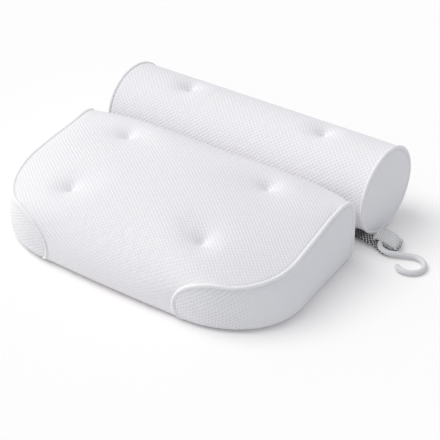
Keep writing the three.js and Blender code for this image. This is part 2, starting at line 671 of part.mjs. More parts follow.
function addHook() {
  const near = LOOP_START + CURL_ALONG_LOOP;
  const beside = TAPE_NEAR_EDGE - CLEAR - ROD_RADIUS;
  const curl = new THREE.Vector2(near + CURL_RADIUS, beside + CURL_RADIUS);
  const bend = new THREE.Vector2(curl.x + BEND_FROM_CURL_X, curl.y + BEND_FROM_CURL_Y);
  const across = curl.clone().sub(bend);
  const square = across.angle() - Math.acos((CURL_RADIUS + BEND_RADIUS) / across.length());
  const curlEnd = square - Math.PI - THREE.MathUtils.degToRad(CURL_TURN);
  const bendEnd = square - THREE.MathUtils.degToRad(BEND_TURN);
  const route = [
    ...arcPoints(curl, CURL_RADIUS, curlEnd, square - Math.PI),
    ...arcPoints(bend, BEND_RADIUS, square, bendEnd),
  ];
  const rod = tube(route, ROD_RADIUS, ROD_STEPS, ROD_SIDES);
  const ends = [route[0], route.at(-1)].map((p) => {
    return new THREE.SphereGeometry(ROD_RADIUS, ROD_SIDES, ROD_SIDES / 2).translate(p.x, p.y, p.z);
  });
  const hook = geometryOf(ends.reduce((joined, ball) => joined.add(solidOf(ball)), solidOf(rod)));
  // The bend lies on the floor, and the curl rides over the strap's lower run.
  const far = bend.x + BEND_RADIUS;
  const lift = TAPE + 2 * CLEAR;
  hook.translate(-far, 0, 0);
  hook.rotateY(Math.atan2(lift, far - near));
  addPiece("hook", hook.translate(far, 0, ROD_RADIUS + CLEAR / 2), "hook");
}

addPad();
addRoll();
addHinge();
addStrap();
addHook();

// The origin is under the middle of the whole pillow, on the plane of the cups' rims.
const middle = new THREE.Box3().setFromObject(pillow).getCenter(point(0, 0, 0));
pillow.position.set(-middle.x, -middle.y, 0);

export default pillow;
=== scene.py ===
# Dresses a two-section bath pillow: air-mesh covers over foam, piping, sewn tufts, suction cups underneath,
# a cloth hinge between the pad and the roll, and an S-hook on a strap. Sizes are in metres.
import json
import math

import bmesh
import bpy
import numpy as np
from bpy.props import FloatProperty, FloatVectorProperty, PointerProperty
from mathutils import Matrix, Vector


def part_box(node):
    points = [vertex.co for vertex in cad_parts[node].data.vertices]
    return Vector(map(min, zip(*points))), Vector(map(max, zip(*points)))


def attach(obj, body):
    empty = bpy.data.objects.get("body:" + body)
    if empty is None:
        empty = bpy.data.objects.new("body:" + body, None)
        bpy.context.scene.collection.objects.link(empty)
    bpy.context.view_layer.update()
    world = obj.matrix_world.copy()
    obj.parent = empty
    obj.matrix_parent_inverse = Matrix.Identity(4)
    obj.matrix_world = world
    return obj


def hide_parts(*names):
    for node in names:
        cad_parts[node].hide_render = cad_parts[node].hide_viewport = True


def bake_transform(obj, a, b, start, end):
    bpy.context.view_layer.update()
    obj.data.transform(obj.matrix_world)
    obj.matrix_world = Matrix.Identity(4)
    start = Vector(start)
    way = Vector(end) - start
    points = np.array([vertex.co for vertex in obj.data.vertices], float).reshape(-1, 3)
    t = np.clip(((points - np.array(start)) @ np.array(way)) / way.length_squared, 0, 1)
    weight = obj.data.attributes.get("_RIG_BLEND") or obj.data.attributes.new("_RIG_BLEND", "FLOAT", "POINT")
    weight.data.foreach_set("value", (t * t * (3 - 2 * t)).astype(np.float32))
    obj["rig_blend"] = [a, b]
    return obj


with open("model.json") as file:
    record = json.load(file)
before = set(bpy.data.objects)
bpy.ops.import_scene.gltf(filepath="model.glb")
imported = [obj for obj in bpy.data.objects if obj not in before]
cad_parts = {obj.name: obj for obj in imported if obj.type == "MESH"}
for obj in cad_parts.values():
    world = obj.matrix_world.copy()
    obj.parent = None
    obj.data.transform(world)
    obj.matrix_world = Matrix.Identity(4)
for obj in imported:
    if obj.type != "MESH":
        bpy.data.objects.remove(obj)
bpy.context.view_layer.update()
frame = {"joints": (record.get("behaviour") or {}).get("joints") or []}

bl_info = {
    "name": "Bath Pillow",
    "version": (1, 0, 0),
    "blender": (4, 5, 0),
    "location": "View3D > Sidebar > Pillow",
    "description": "Covers, piping, tufts, suction cups and hanger for the bath pillow's solids",
    "category": "Object",
}


def middle_of(node):
    low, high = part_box(node)
    return (low + high) / 2


HINGE = Vector(next(j["pos_m"] for j in frame["joints"] if j["name"] == "roll_fold"))
ORIGIN = Vector((middle_of("pad_top_cover").x, HINGE.y, 0.0))  # middle of the hinge line, on the floor
TUFTS = (
    *(("pad", name) for name in ("rear_left", "rear_right", "front_left", "front_right")),
    *(("roll", name) for name in ("left", "right")),
)
TOP, BACK, RIGHT, LEFT, REAR = range(5)  # the pad's panels
WRAP, END_RIGHT, END_LEFT = range(3)  # the roll's panels


# Settings


def length(name, default, description):
    return FloatProperty(name=name, description=description, default=default, min=0.0, unit="LENGTH")


def factor(name, default, description):
    return FloatProperty(name=name, description=description, default=default, min=0.0)


def colour(name, default, description):
    return FloatVectorProperty(
        name=name, description=description, default=default, size=3, min=0.0, max=1.0, subtype="COLOR"
    )


class PadSizes(bpy.types.PropertyGroup):
    """Sizes of the back pad"""

    half_width: length("Half width", 0.185, "From the middle to a gusset")
    length: length("Length", 0.218, "From the hinge line to the front face")
    corner: length("Front corner", 0.092, "Radius of the front corners seen from above")
    rear: length("Rear set-back", 0.020, "Set-back of the rear corners from the hinge line")
    rear_taper: length("Rear taper", 0.004, "How much narrower each side is at the rear")
    lean: length("Gusset lean", 0.006, "How far a gusset leans in at its upper edge")
    tuck: length("Gusset tuck", 0.003, "How far a gusset draws in at the bottom seam")
    belly: length("Belly height", 0.025, "Height at which the sides stand out furthest")
    underside: length("Underside", 0.004, "Height of the underside above the cups' rims")
    bottom: length("Bottom edge", 0.0012, "Height to which the bottom edge sags")
    gusset_rear: length("Gusset at the rear", 0.077, "Height of the upper seam at the rear")
    gusset_front: length("Gusset at the front", 0.054, "Height of the upper seam round the front corner")
    shoulder: length("Shoulder", 0.0495, "Height at which the seam turns down the front face")
    brow: length("Brow", 0.043, "Height at which the top turns down the front face in the middle")
    tip_height: length("Tip height", 0.021, "Height at which a gusset's tip reaches furthest")
    tip_to_middle: length("Tip to middle", 0.085, "From the middle to a gusset's tip")
    tip_round: length("Tip round", 0.022, "How far a gusset's upper seam takes to turn round its tip")
    crown_rear: length("Rear crown", 0.093, "Height along the middle at the rear")
    crown_front: length("Front crown", 0.084, "Height along the middle at the front")
    rear_edge_height: length("Rear edge height", 0.076, "Height of the rear edge")
    rear_edge_setback: length("Rear edge set-back", 0.009, "Set-back of the rear edge")
    rear_round: length("Rear round", 0.015, "Radius of the gussets' upper rear corners")
    foot: length("Foot", 0.006, "Radius of the bottom edge")
    splay: length("Corner splay", 0.006, "How far the lower part of a front corner spreads out")
    crown_sharpness: factor("Crown sharpness", 3.0, "How flat the crown stays before it falls to the seams")
    rear_sharpness: factor("Rear sharpness", 6.0, "The same for the straighter rear wall")


class RollSizes(bpy.types.PropertyGroup):
    """Sizes of the neck roll"""

    half_length: length("Half length", 0.177, "From the middle to an end seam")
    half_depth: length("Half depth", 0.0535, "Half of the roll's depth")
    half_height: length("Half height", 0.050, "Half of the roll's height")
    flat: length("Flat", 0.0018, "How far the roll is pressed flat underneath")
    to_hinge: length("To hinge line", 0.0015, "Gap between the roll's front and the hinge line")
    cap_bulge: length("End bulge", 0.004, "How far the round ends swell")


class ClothSizes(bpy.types.PropertyGroup):
    """Sizes of the cloth, the sewing and the fill"""

    cover: length("Cover", 0.0024, "Thickness of the mesh covers")
    foam_gap: length("Foam gap", 0.006, "From the outside of a cover to the foam")
    piping: length("Piping radius", 0.0022, "Radius of the piping")
    seam_dip: length("Seam dip", 0.0026, "How far a cover dips beside a piping")
    side_dip: length("Side dip", 0.0040, "How far a gusset or a round end dips beside a piping")
    tuft_depth: length("Tuft depth", 0.0068, "Depth of the wide hollow round a tuft")
    tuft_reach: length("Tuft reach", 0.031, "Radius of the wide hollow round a tuft")
    pit_depth: length("Pit depth", 0.007, "Further depth where the stitch pulls in")
    pit_reach: length("Pit reach", 0.0048, "Radius of the pit round the stitch")
    shrink: length("Shrink", 0.0008, "How much smaller the covers are before they are filled")
    swell: length("Swell", 0.006, "The furthest that the fill moves a cover")
    pressure: factor("Pressure", 12.0, "Pressure of the fill")
    cell: length("Mesh cell", 0.0056, "Distance between the holes in a row of the mesh")
    side_cell: length("Side cell", 0.0042, "The same for the finer mesh of the gussets and the round ends")
    side_stretch: factor("Side stretch", 1.7, "How much wider than high the cells of the finer mesh are")
    stretch: factor("Mesh stretch", 1.34, "How much wider than long the mesh is drawn over the pad")


class PillowColours(bpy.types.PropertyGroup):
    """Colours of the finishes"""

    mesh: colour("Mesh", (0.876, 0.863, 0.894), "White air mesh")
    # darker than the mesh as painted shade of the sides; the sides are the same white cloth, in a finer mesh
    gusset: colour("Gusset", (0.83, 0.828, 0.858), "White air mesh of the sides")
    piping: colour("Piping", (0.93, 0.928, 0.945), "White piping cloth")
    foam: colour("Foam", (0.82, 0.79, 0.68), "Cream foam")
    thread: colour("Thread", (0.80, 0.80, 0.80), "White sewing thread")
    vinyl: colour("Vinyl", (0.86, 0.90, 0.92), "Clear vinyl of the cups")
    tape: colour("Tape", (0.80, 0.80, 0.81), "Pale grey tape")
    # painted shade: the roll's shadow painted on the start of the tape's sewn end
    tape_painted_shade: colour("Tape's painted shade", (0.30, 0.30, 0.31), "Painted shade of the roll on the tape's sewn end")
    # painted shade: the shade seen through the net's gaps, painted near black
    tape_gap_shade: colour("Tape gaps", (0.05, 0.05, 0.053), "Painted shade in the net tape's gaps")
    plastic: colour("Plastic", (0.70, 0.698, 0.715), "Pale grey plastic of the hook")
    floor: colour("Floor", (0.985, 0.973, 0.974), "White studio floor")


class PillowSettings(bpy.types.PropertyGroup):
    """Everything that can be set on the pillow"""

    pad: PointerProperty(type=PadSizes)
    roll: PointerProperty(type=RollSizes)
    cloth: PointerProperty(type=ClothSizes)
    colours: PointerProperty(type=PillowColours)


# Lines


def mix(a, b, share):
    return a + (b - a) * share


STRIDE = 32  # points that a smooth line makes between two given ones


def spline(points):
    """Close points on a smooth line through the given ones."""
    points = np.asarray(points, float)
    guide = [2 * points[0] - points[1], *points, 2 * points[-1] - points[-2]]
    line = []
    for p0, p1, p2, p3 in zip(guide, guide[1:], guide[2:], guide[3:]):
        k1, k2, k3 = np.cumsum([np.linalg.norm(b - a) ** 0.5 for a, b in ((p0, p1), (p1, p2), (p2, p3))])
        t = np.linspace(k1, k2, STRIDE, endpoint=False)[:, None]
        here = (t - k1) / (k2 - k1)
        a1, a2, a3 = mix(p0, p1, t / k1), mix(p1, p2, here), mix(p2, p3, (t - k2) / (k3 - k2))
        b1, b2 = mix(a1, a2, t / k2), mix(a2, a3, (t - k1) / (k3 - k1))
        line.append(mix(b1, b2, here))
    return np.vstack([*line, points[-1:]])


def evenly(line, count, crowd=1.0):
    """The given number of steps along a line: equal, or closer together towards its end."""
    gone = np.concatenate([[0], np.cumsum(np.linalg.norm(np.diff(line, axis=0), axis=1))])
    places = gone[-1] * crowded(count, crowd)
    return np.stack([np.interp(places, gone, line[:, k]) for k in range(line.shape[1])], axis=1)


def crowded(count, crowd):
    """Shares from 0 to 1, closer together towards 1."""
    return 1 - (1 - np.linspace(0, 1, count + 1)) ** crowd


# The pad's pattern

RUN_STEPS = 57  # along the top, the underside and a gusset
FACE_STEPS = 20  # up the rear wall and down the front face
CROWD = 1.5  # how much closer the rows come towards the bottom edge
COLUMNS = np.linspace(-1, 1, 93)
SPLAY_AT, SPLAY_WIDTH = 0.28, 0.38  # shares of the front corner's turn
REAR_LEAN, LEAN_RUN = 0.3, 0.045  # share of the lean at the rear, and how far it takes to grow whole
SHARPNESS_FADE = 0.27  # how fast the rows lose the rear wall's sharpness


def in_steps(line, first, second):
    """Cuts a smooth line at two given points into steps up the rear, along the top, down the face."""
    first, second = first * STRIDE, second * STRIDE
    return (
        evenly(line[first::-1], FACE_STEPS, CROWD)[::-1],
        evenly(line[first : second + 1], RUN_STEPS),
        evenly(line[second:], FACE_STEPS, CROWD),
    )


class PadPattern:
    """Grids of points for the pad's panels, which share their seams."""

    def __init__(self, pad):
        self.pad = pad
        self.side_run = pad.length - pad.corner - pad.rear
        self.corner_run = pad.corner * math.pi / 2
        self.places = self.seam_places()
        self.centres = self.middle_line()
        self.band = self.band_grid()
        self.back = self.back_grid()
        self.gusset = self.gusset_grid()

    def wall(self, run, height):
        """Points on the wall, by the distance along the outline from the rear corner and the height."""
        pad = self.pad
        turn = np.clip((run - self.side_run) / self.corner_run, 0, 1) * math.pi / 2
        out_x, out_y = np.cos(turn), -np.sin(turn)
        above = np.maximum(0, height - pad.belly) / (pad.gusset_rear - pad.belly)
        below = np.maximum(0, pad.belly - height) / (pad.belly - pad.bottom)
        taper = pad.rear_taper * np.maximum(0, 1 - run / self.side_run) ** 2
        turn_in = np.clip(1 - (height - pad.bottom) / pad.foot, 0, 1)
        foot = pad.foot * (1 - np.sqrt(1 - turn_in**2))
        low = np.clip((pad.gusset_front - height) / (pad.gusset_front - pad.belly), 0, 1)
        off_splay = ((run - self.side_run) / self.corner_run - SPLAY_AT) / SPLAY_WIDTH
        splay = pad.splay * low * np.exp(-(off_splay**2))
        lean = pad.lean * mix(REAR_LEAN, 1, np.minimum(1, run / LEAN_RUN))
        reach = pad.corner - lean * above**2 - pad.tuck * below**2 - taper - foot + splay
        past_corner = np.maximum(0, run - self.side_run - self.corner_run)
        x = pad.half_width - pad.corner + reach * out_x - past_corner
        y = pad.corner - pad.length + reach * out_y + np.maximum(0, self.side_run - run)
        return np.stack([x, y, height + 0 * run], axis=-1)

    def seam_places(self):
        """The gusset's piped seam as runs and heights: up the rear, along the side, round the tip."""
        pad, side, corner = self.pad, self.side_run, self.corner_run
        rear, front, turn = pad.gusset_rear, pad.gusset_front, pad.rear_round
        tip = side + corner + pad.half_width - pad.corner - pad.tip_to_middle
        shoulder = tip - pad.tip_round
        points = [
            (0, pad.bottom),
            (0, 0.5 * rear),
            (0, 1.04 * rear - 1.2 * turn),
            (0.3 * turn, 1.05 * rear - 0.3 * turn),
            (1.2 * turn, 1.05 * rear),
            (0.35 * side, 1.015 * rear),
            (0.95 * side, mix(rear, front, 0.44)),
            (side + 0.26 * corner, mix(rear, front, 0.86)),
            (side + 0.6 * corner, front),
            (shoulder - pad.tip_round, mix(front, pad.shoulder, -0.35)),
            (shoulder, pad.shoulder),
            (tip - 0.28 * pad.tip_round, mix(pad.tip_height, pad.shoulder, 0.56)),
            (tip, pad.tip_height),
            (tip - 0.15 * pad.tip_round, mix(pad.tip_height, pad.bottom, 0.66)),
            (tip - 0.6 * pad.tip_round, pad.bottom),
        ]
        return in_steps(spline(points), 3, 10)

    def middle_line(self):
        """The pad's middle: up the rear wall, over the crown, then down the front face."""
        pad = self.pad
        edge, back = pad.rear_edge_height, pad.rear_edge_setback
        points = [
            (0, -0.28 * back, pad.bottom),
            (0, -0.07 * back, 0.45 * edge),
            (0, -0.25 * back, 0.78 * edge),
            (0, -0.84 * back, 0.97 * edge),
            (0, -0.13 * pad.length, mix(edge, pad.crown_rear, 0.85)),
            (0, -0.3 * pad.length, pad.crown_rear),
            (0, -0.75 * pad.length, pad.crown_front),
            (0, -0.93 * pad.length, mix(pad.brow, pad.crown_front, 0.62)),
            (0, -pad.length, pad.brow),
            (0, -pad.length - pad.tuck, pad.belly),
            (0, -pad.length - 0.2 * pad.tuck, pad.bottom + pad.foot),
            (0, -pad.length + 0.6 * pad.tuck + 0.3 * pad.foot, pad.bottom + 0.3 * pad.foot),
            (0, -pad.length + pad.tuck + pad.foot, pad.bottom),
        ]
        return in_steps(spline(points), 3, 8)

    def across(self, edge, centre, sharpness):
        """A row of points from seam to seam over a middle point."""
        share = np.abs(COLUMNS) ** sharpness
        return np.stack(
            [COLUMNS * edge[0], mix(centre[1], edge[1], share), mix(centre[2], edge[2], share)], axis=-1
        )

    def sharpness(self, row):
        """Square at the rear wall, rounder over the crown."""
        rear = math.exp(-SHARPNESS_FADE * max(0, row))
        return mix(self.pad.crown_sharpness, self.pad.rear_sharpness, rear)

    def band_grid(self):
        """The cloth that runs up the rear wall, over the crown and down the front face."""
        rear, top, face = (np.column_stack(pair) for pair in zip(self.places, self.centres))
        rows = np.vstack([rear, top[1:], face[1:]])
        return np.array(
            [
                self.across(self.wall(*row[:2]), row[2:], self.sharpness(i - FACE_STEPS))
                for i, row in enumerate(rows)
            ]
        )

    def back_grid(self):
        """The underside, from the hinge to the foot of the front face."""
        start, end = self.centres[0][0], self.centres[2][-1]
        rows = []
        for i, run in enumerate(self.bottom_runs()):
            edge = self.wall(run, self.pad.bottom)
            middle = mix(start, end, i / RUN_STEPS)
            middle[2] = mix(self.pad.underside, self.pad.bottom, (2 * i / RUN_STEPS - 1) ** 8)
            rows.append(self.across(edge, middle, self.sharpness(i)))
        rows[-1] = self.band[-1]
        return np.array(rows)

    def bottom_runs(self):
        return np.linspace(0, self.places[2][-1, 0], RUN_STEPS + 1)

    def gusset_grid(self):
        """A gusset, stretched between the upper seam, the tip, the bottom and the rear."""
        rear, upper, tip = self.places
        rear = rear[::-1]
        lower = np.column_stack([self.bottom_runs(), np.full(len(upper), self.pad.bottom)])
        u = np.linspace(0, 1, RUN_STEPS + 1)[:, None, None]
        v = crowded(FACE_STEPS, CROWD)[None, :, None]
        ruled = mix(upper[:, None], lower[:, None], v) + mix(rear[None], tip[None], u)
        flat = ruled - mix(mix(upper[0], upper[-1], u), mix(lower[0], lower[-1], u), v)
        return self.wall(flat[..., 0], flat[..., 1])


# Meshes


def lay_grid(bm, points, cloth, panel):
    """Lays a grid on rows of points as one panel, with its place on the flat cloth as its UV."""
    rows, columns = points.shape[:2]
    made = bmesh.ops.create_grid(bm, x_segments=columns - 1, y_segments=rows - 1, size=0.5)["verts"]
    uv = bm.loops.layers.uv.verify()
    spot = {v: (round((v.co.y + 0.5) * (rows - 1)), round((v.co.x + 0.5) * (columns - 1))) for v in made}
    for face in {f for v in made for f in v.link_faces}:
        face.material_index = panel
        for loop in face.loops:
            loop[uv].uv = cloth[spot[loop.vert]]
    for v, place in spot.items():
        v.co = Vector(points[place]) + ORIGIN
    return made


def steps_along(points, axis, *ways):
    """Distance along rows or columns of a grid, counting only the given directions."""
    gone = np.cumsum(np.linalg.norm(np.diff(points[..., ways], axis=axis), axis=-1), axis=axis)
    start = np.zeros_like(np.take(gone, [0], axis=axis))
    return np.concatenate([start, gone], axis=axis)


def cloth_of_rows(points):
    """Where each point of a crosswise grid lay on the flat cloth."""
    across = steps_along(points, 1, 0, 2)
    across -= across[:, [across.shape[1] // 2]]
    down = steps_along(points, 0, 1, 2) - points[:1, :, 1]
    return np.stack([across, down], axis=-1)


def weld(bm):
    bmesh.ops.remove_doubles(bm, verts=bm.verts, dist=2e-5)
    bmesh.ops.dissolve_degenerate(bm, edges=bm.edges, dist=1e-6)
    bmesh.ops.recalc_face_normals(bm, faces=bm.faces)


def object_of(bm, name, smooth=True):
    """A new object of a bmesh, which goes; its place is in its points, so it stays at the origin."""
    mesh = bpy.data.meshes.new(name)
    bm.to_mesh(mesh)
    bm.free()
    if smooth:
        mesh.shade_smooth()
    obj = bpy.data.objects.new(name, mesh)
    bpy.context.scene.collection.objects.link(obj)
    return obj


def baked(obj):
    """A bmesh of an object with its modifiers; the object goes."""
    graph = bpy.context.evaluated_depsgraph_get()
    graph.update()
    bm = bmesh.new()
    bm.from_object(obj, graph)
    old = obj.data
    bpy.data.objects.remove(obj)
    bpy.data.meshes.remove(old)
    return bm


# The fill's simulation
FILL_FRAMES = 20
FILL_QUALITY = 6  # solver steps in each frame
CLOTH_MASS = 0.002  # kilograms at each point
CLOTH_STIFFNESS = 3
CLOTH_BENDING = 5
SEWN_RADIUS = 0.004  # how far round it a stitch holds the cloth
RESTING_HEIGHT = 0.012  # what lies lower is held by what the pillow rests on


def to_nearest(tufts, place):
    """Level distance to the nearest tuft."""
    return min((place.xy - t.xy).length for t in tufts)


def held_points(skin, tufts, unsewn):
    """How firmly each point is held: fully at the seams, the tufts and the underside."""
    skin.verts.index_update()
    held = []
    for v in skin.verts:
        panels = {f.material_index for f in v.link_faces}
        sewn = len(panels) > 1 and panels != unsewn
        tufted = to_nearest(tufts, v.co) < SEWN_RADIUS
        held.append(1.0 if sewn or tufted or v.co.z < RESTING_HEIGHT else 0.0)
    return held


def filled(bm, held, cloth):
    """Blows a sewn skin up by a cloth simulation, with the held points kept still."""
    bm.normal_update()
    for v in bm.verts:
        v.co -= v.normal * cloth.shrink * (1 - held[v.index])
    start = [v.co.copy() for v in bm.verts]
    obj = object_of(bm, "skin")
    group = obj.vertex_groups.new(name="sewn")
    for index, weight in enumerate(held):
        group.add([index], weight, "REPLACE")
    fill = obj.modifiers.new("Fill", "CLOTH")
    settings = fill.settings
    settings.use_pressure = True
    settings.uniform_pressure_force = cloth.pressure
    settings.vertex_group_mass = group.name
    settings.effector_weights.gravity = 0
    settings.quality = FILL_QUALITY
    settings.mass = CLOTH_MASS
    for way in ("tension", "compression", "shear"):
        setattr(settings, f"{way}_stiffness", CLOTH_STIFFNESS)
    settings.bending_stiffness = CLOTH_BENDING
    fill.point_cache.frame_start, fill.point_cache.frame_end = 1, FILL_FRAMES
    scene = bpy.context.scene
    for step in range(1, FILL_FRAMES + 1):
        scene.frame_set(step)
    swollen = baked(obj)
    scene.frame_set(1)
    for v, place in zip(swollen.verts, start):
        move = v.co - place
        v.co = place + move * min(1, cloth.swell / max(move.length, 1e-9))
    return swollen


def refined(bm):
    """One smooth subdivision."""
    obj = object_of(bm, "skin")
    smooth = obj.modifiers.new("Smooth", "SUBSURF")
    smooth.levels = smooth.render_levels = 1
    return baked(obj)


NEXT_DIP = 0.3  # share of a seam's dip that the next points take


def panel_of(skin, panels, dip):
    """Panels cut from a skin, dipping at their piped seams."""
    bm = skin.copy()
    bmesh.ops.delete(bm, geom=[f for f in bm.faces if f.material_index not in panels], context="FACES")
    bm.normal_update()
    piped = bm.verts.layers.int["piped"]
    dips = {v: dip for v in bm.verts if v.is_boundary and v[piped]}
    near = {e.other_vert(v) for v in dips for e in v.link_edges} - dips.keys()
    dips.update({v: dip * NEXT_DIP for v in near})
    moves = {v: v.normal * depth for v, depth in dips.items()}
    for v, move in moves.items():
        v.co -= move
    for face in bm.faces:
        face.material_index = 0
    return bm


def seam_of(skin, side, others, sink):
    """The points in order just below the seam between a panel and some others, and whether it closes."""
    links = {}
    skin.normal_update()
    for edge in skin.edges:
        panels = {f.material_index for f in edge.link_faces}
        if side in panels and panels & set(others):
            for v in edge.verts:
                links.setdefault(v, []).append(edge.other_vert(v))
    ends = [v for v, linked in links.items() if len(linked) == 1]
    here = ends[0] if ends else next(iter(links))
    chain = [here]
    while True:
        onward = [v for v in links[here] if v not in chain[-2:] and v is not chain[0]]
        if not onward:
            return [v.co - v.normal * sink for v in chain], not ends
        here = onward[0]
        chain.append(here)


def mark_piped(skin, pairs):
    """Marks the points on the seams between the given pairs of panels."""
    layer = skin.verts.layers.int.new("piped")
    for v in skin.verts:
        here = {f.material_index for f in v.link_faces}
        v[layer] = any(set(pair) <= here for pair in pairs)


def sink_tufts(skin, tufts, crest, cloth):
    """Draws the cloth above a height in at the stitches, more sharply than the hollow round them."""
    for v in skin.verts:
        if v.co.z > crest:
            v.co.z -= cloth.pit_depth * math.exp(-to_nearest(tufts, v.co) / cloth.pit_reach)


def hollow(points, tufts, depth, reach, sharp):
    """How far points are drawn in round the tufts, to a point or in a rounded bowl."""
    away = np.min([np.hypot(points[..., 0] - t.x, points[..., 1] - t.y) for t in tufts], axis=0)
    if sharp:
        return depth * np.maximum(0, 1 - away / reach) ** 2
    return depth * np.maximum(0, 1 - (away / reach) ** 2) ** 2


FOAM_PRESS = 0.006  # how far a stitch presses the foam in
FOAM_PRESS_REACH = 0.012


def foam_of(skin, gap, tufts, name):
    """The foam inside a skin, pressed down further under the tufts."""
    bm = skin.copy()
    bm.normal_update()
    for face in bm.faces:
        face.material_index = 0
    for v in bm.verts:
        share = math.exp(-to_nearest(tufts, v.co) / FOAM_PRESS_REACH) if v.normal.z > 0 else 0
        press = FOAM_PRESS * share
        v.co -= v.normal * gap + Vector((0, 0, press))
    return object_of(bm, name)


def thickened(obj, thickness):
    wall = obj.modifiers.new("Cloth", "SOLIDIFY")
    wall.thickness = thickness
    wall.offset = -1
    wall.use_even_offset = False
    return obj


def frames_along(path, closed=False):
    """A frame at each point of a path, carried along without twist."""
    path = [Vector(p) for p in path]
    if closed:
        tangents = [(path[(i + 1) % len(path)] - path[i - 1]).normalized() for i in range(len(path))]
    else:
        ends = [path[0] * 2 - path[1], *path, path[-1] * 2 - path[-2]]
        tangents = [(b - a).normalized() for a, b in zip(ends, ends[2:])]
    turn = Vector((0, 0, 1)).rotation_difference(tangents[0])
    frames = []
    for place, before, tangent in zip(path, [tangents[0], *tangents], tangents):
        turn = before.rotation_difference(tangent) @ turn
        frames.append(Matrix.Translation(place) @ turn.to_matrix().to_4x4())
    return frames


def sweep(bm, frames, section, scales=None, closed=False):
    """Draws a closed section, scaled two ways, along frames; notes each point's place along and across."""
    along = bm.verts.layers.float.get("along") or bm.verts.layers.float.new("along")
    across = bm.verts.layers.float.get("across") or bm.verts.layers.float.new("across")
    scales = scales or [(1.0, 1.0)] * len(frames)
    wide, high = scales[0]
    ring = [bm.verts.new(frames[0] @ Vector((x * wide, y * high, 0))) for x, y in section]
    for v, (_, y) in zip(ring, section):
        v[across] = y
    edges = [bm.edges.new((a, b)) for a, b in zip(ring, [*ring[1:], ring[0]])]
    first = edges
    gone = 0.0
    steps = list(zip(frames, frames[1:], scales, scales[1:]))
    for before, after, size, new_size in steps:
        made = bmesh.ops.extrude_edge_only(bm, edges=edges)["geom"]
        fresh = {g for g in made if isinstance(g, bmesh.types.BMVert)}
        edges = [g for g in made if isinstance(g, bmesh.types.BMEdge) and set(g.verts) <= fresh]
        grow = Matrix.Diagonal((new_size[0] / size[0], new_size[1] / size[1], 1, 1))
        bmesh.ops.transform(bm, matrix=after @ grow @ before.inverted(), verts=list(fresh))
        gone += (after.translation - before.translation).length
        for v in fresh:
            v[along] = gone
    if closed:
        bmesh.ops.bridge_loops(bm, edges=first + edges)
    else:
        bmesh.ops.contextual_create(bm, geom=first)
        bmesh.ops.contextual_create(bm, geom=edges)
    bmesh.ops.recalc_face_normals(bm, faces=bm.faces)


def circle(radius, sides):
    turns = np.linspace(0, 2 * math.pi, sides, endpoint=False)
    return [(radius * math.cos(t), radius * math.sin(t)) for t in turns]


def rounded_rod(bm, path, radius, sides):
    """A round rod along a path with round ends."""
    frames = frames_along(path)
    caps = [math.radians(a) for a in (80, 60, 40, 20)]
    start = [frames[0] @ Matrix.Translation((0, 0, -radius * math.sin(a))) for a in caps]
    end = [frames[-1] @ Matrix.Translation((0, 0, radius * math.sin(a))) for a in reversed(caps)]
    sizes = [(math.cos(a), math.cos(a)) for a in caps]
    scales = [*sizes, *[(1.0, 1.0)] * len(frames), *reversed(sizes)]
    sweep(bm, [*start, *frames, *end], circle(radius, sides), scales)


def turned(bm, profile, centre, steps):
    """Spins a profile of radii and heights round an upright line."""
    made = [bm.verts.new((centre.x + r, centre.y, centre.z + z)) for r, z in profile]
    edges = [bm.edges.new(pair) for pair in zip(made, made[1:])]
    bmesh.ops.spin(
        bm, geom=made + edges, cent=centre, axis=(0, 0, 1), angle=2 * math.pi, steps=steps, use_merge=True
    )
    weld(bm)


def finish_piece(obj, body, material, node):
    """Gives a piece its finish and the body that it rides on, and hides the solid that it stands for."""
    obj.data.materials.append(finish(material))
    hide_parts(node)
    if body:
        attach(obj, body)
    return obj


# Finishes


class Nodes:
    """Adds nodes to a tree and links them by their sockets' names."""

    def __init__(self, tree):
        self.tree = tree

    def add(self, kind, settings=None, **inputs):
        node = self.tree.nodes.new(kind)
        for key, value in (settings or {}).items():
            setattr(node, key, value)
        for key, value in inputs.items():
            self.put(node.inputs[int(key[1:]) if key[1:].isdigit() else key.replace("_", " ")], value)
        return node

    def put(self, socket, value):
        if isinstance(value, bpy.types.NodeSocket):
            self.tree.links.new(value, socket)
        else:
            socket.default_value = value

    def operation(self, kind, operation, values):
        return self.add(kind, {"operation": operation}, **{f"i{k}": v for k, v in enumerate(values)})

    def math(self, operation, *values):
        return self.operation("ShaderNodeMath", operation, values).outputs[0]

    def vector(self, operation, *values):
        made = self.operation("ShaderNodeVectorMath", operation, values)
        return made.outputs["Value" if operation in ("LENGTH", "DOT_PRODUCT") else "Vector"]

    def scaled(self, value, share):
        made = self.add("ShaderNodeVectorMath", {"operation": "SCALE"}, i0=value, Scale=share)
        return made.outputs["Vector"]

    def noise(self, place, scale, detail, dimensions="3D"):
        settings = {"noise_dimensions": dimensions}
        return self.add("ShaderNodeTexNoise", settings, Vector=place, Scale=scale, Detail=detail).outputs

    def place(self):
        return self.add("ShaderNodeTexCoord").outputs["Object"]

    def smooth(self, value, low, high, to_low, to_high):
        node = self.add("ShaderNodeMapRange", {"interpolation_type": "SMOOTHSTEP"})
        for socket, given in zip(node.inputs, (value, low, high, to_low, to_high)):
            self.put(socket, given)
        return node.outputs[0]

    def blend(self, share, a, b):
        node = self.add("ShaderNodeMix", {"data_type": "RGBA"})
        self.put(node.inputs["Factor"], share)
        self.put(node.inputs[6], a)
        self.put(node.inputs[7], b)
        return node.outputs[2]


def new_group(name, inputs, outputs):
    """A shader node group with named value inputs and outputs."""
    tree = bpy.data.node_groups.new(name, "ShaderNodeTree")
    for label, kind, default in inputs:
        socket = tree.interface.new_socket(label, in_out="INPUT", socket_type=kind)
        if default is not None:
            socket.default_value = default
    for label, kind in outputs:
        tree.interface.new_socket(label, in_out="OUTPUT", socket_type=kind)
    nodes = Nodes(tree)
    return tree, nodes, nodes.add("NodeGroupInput").outputs, nodes.add("NodeGroupOutput").inputs


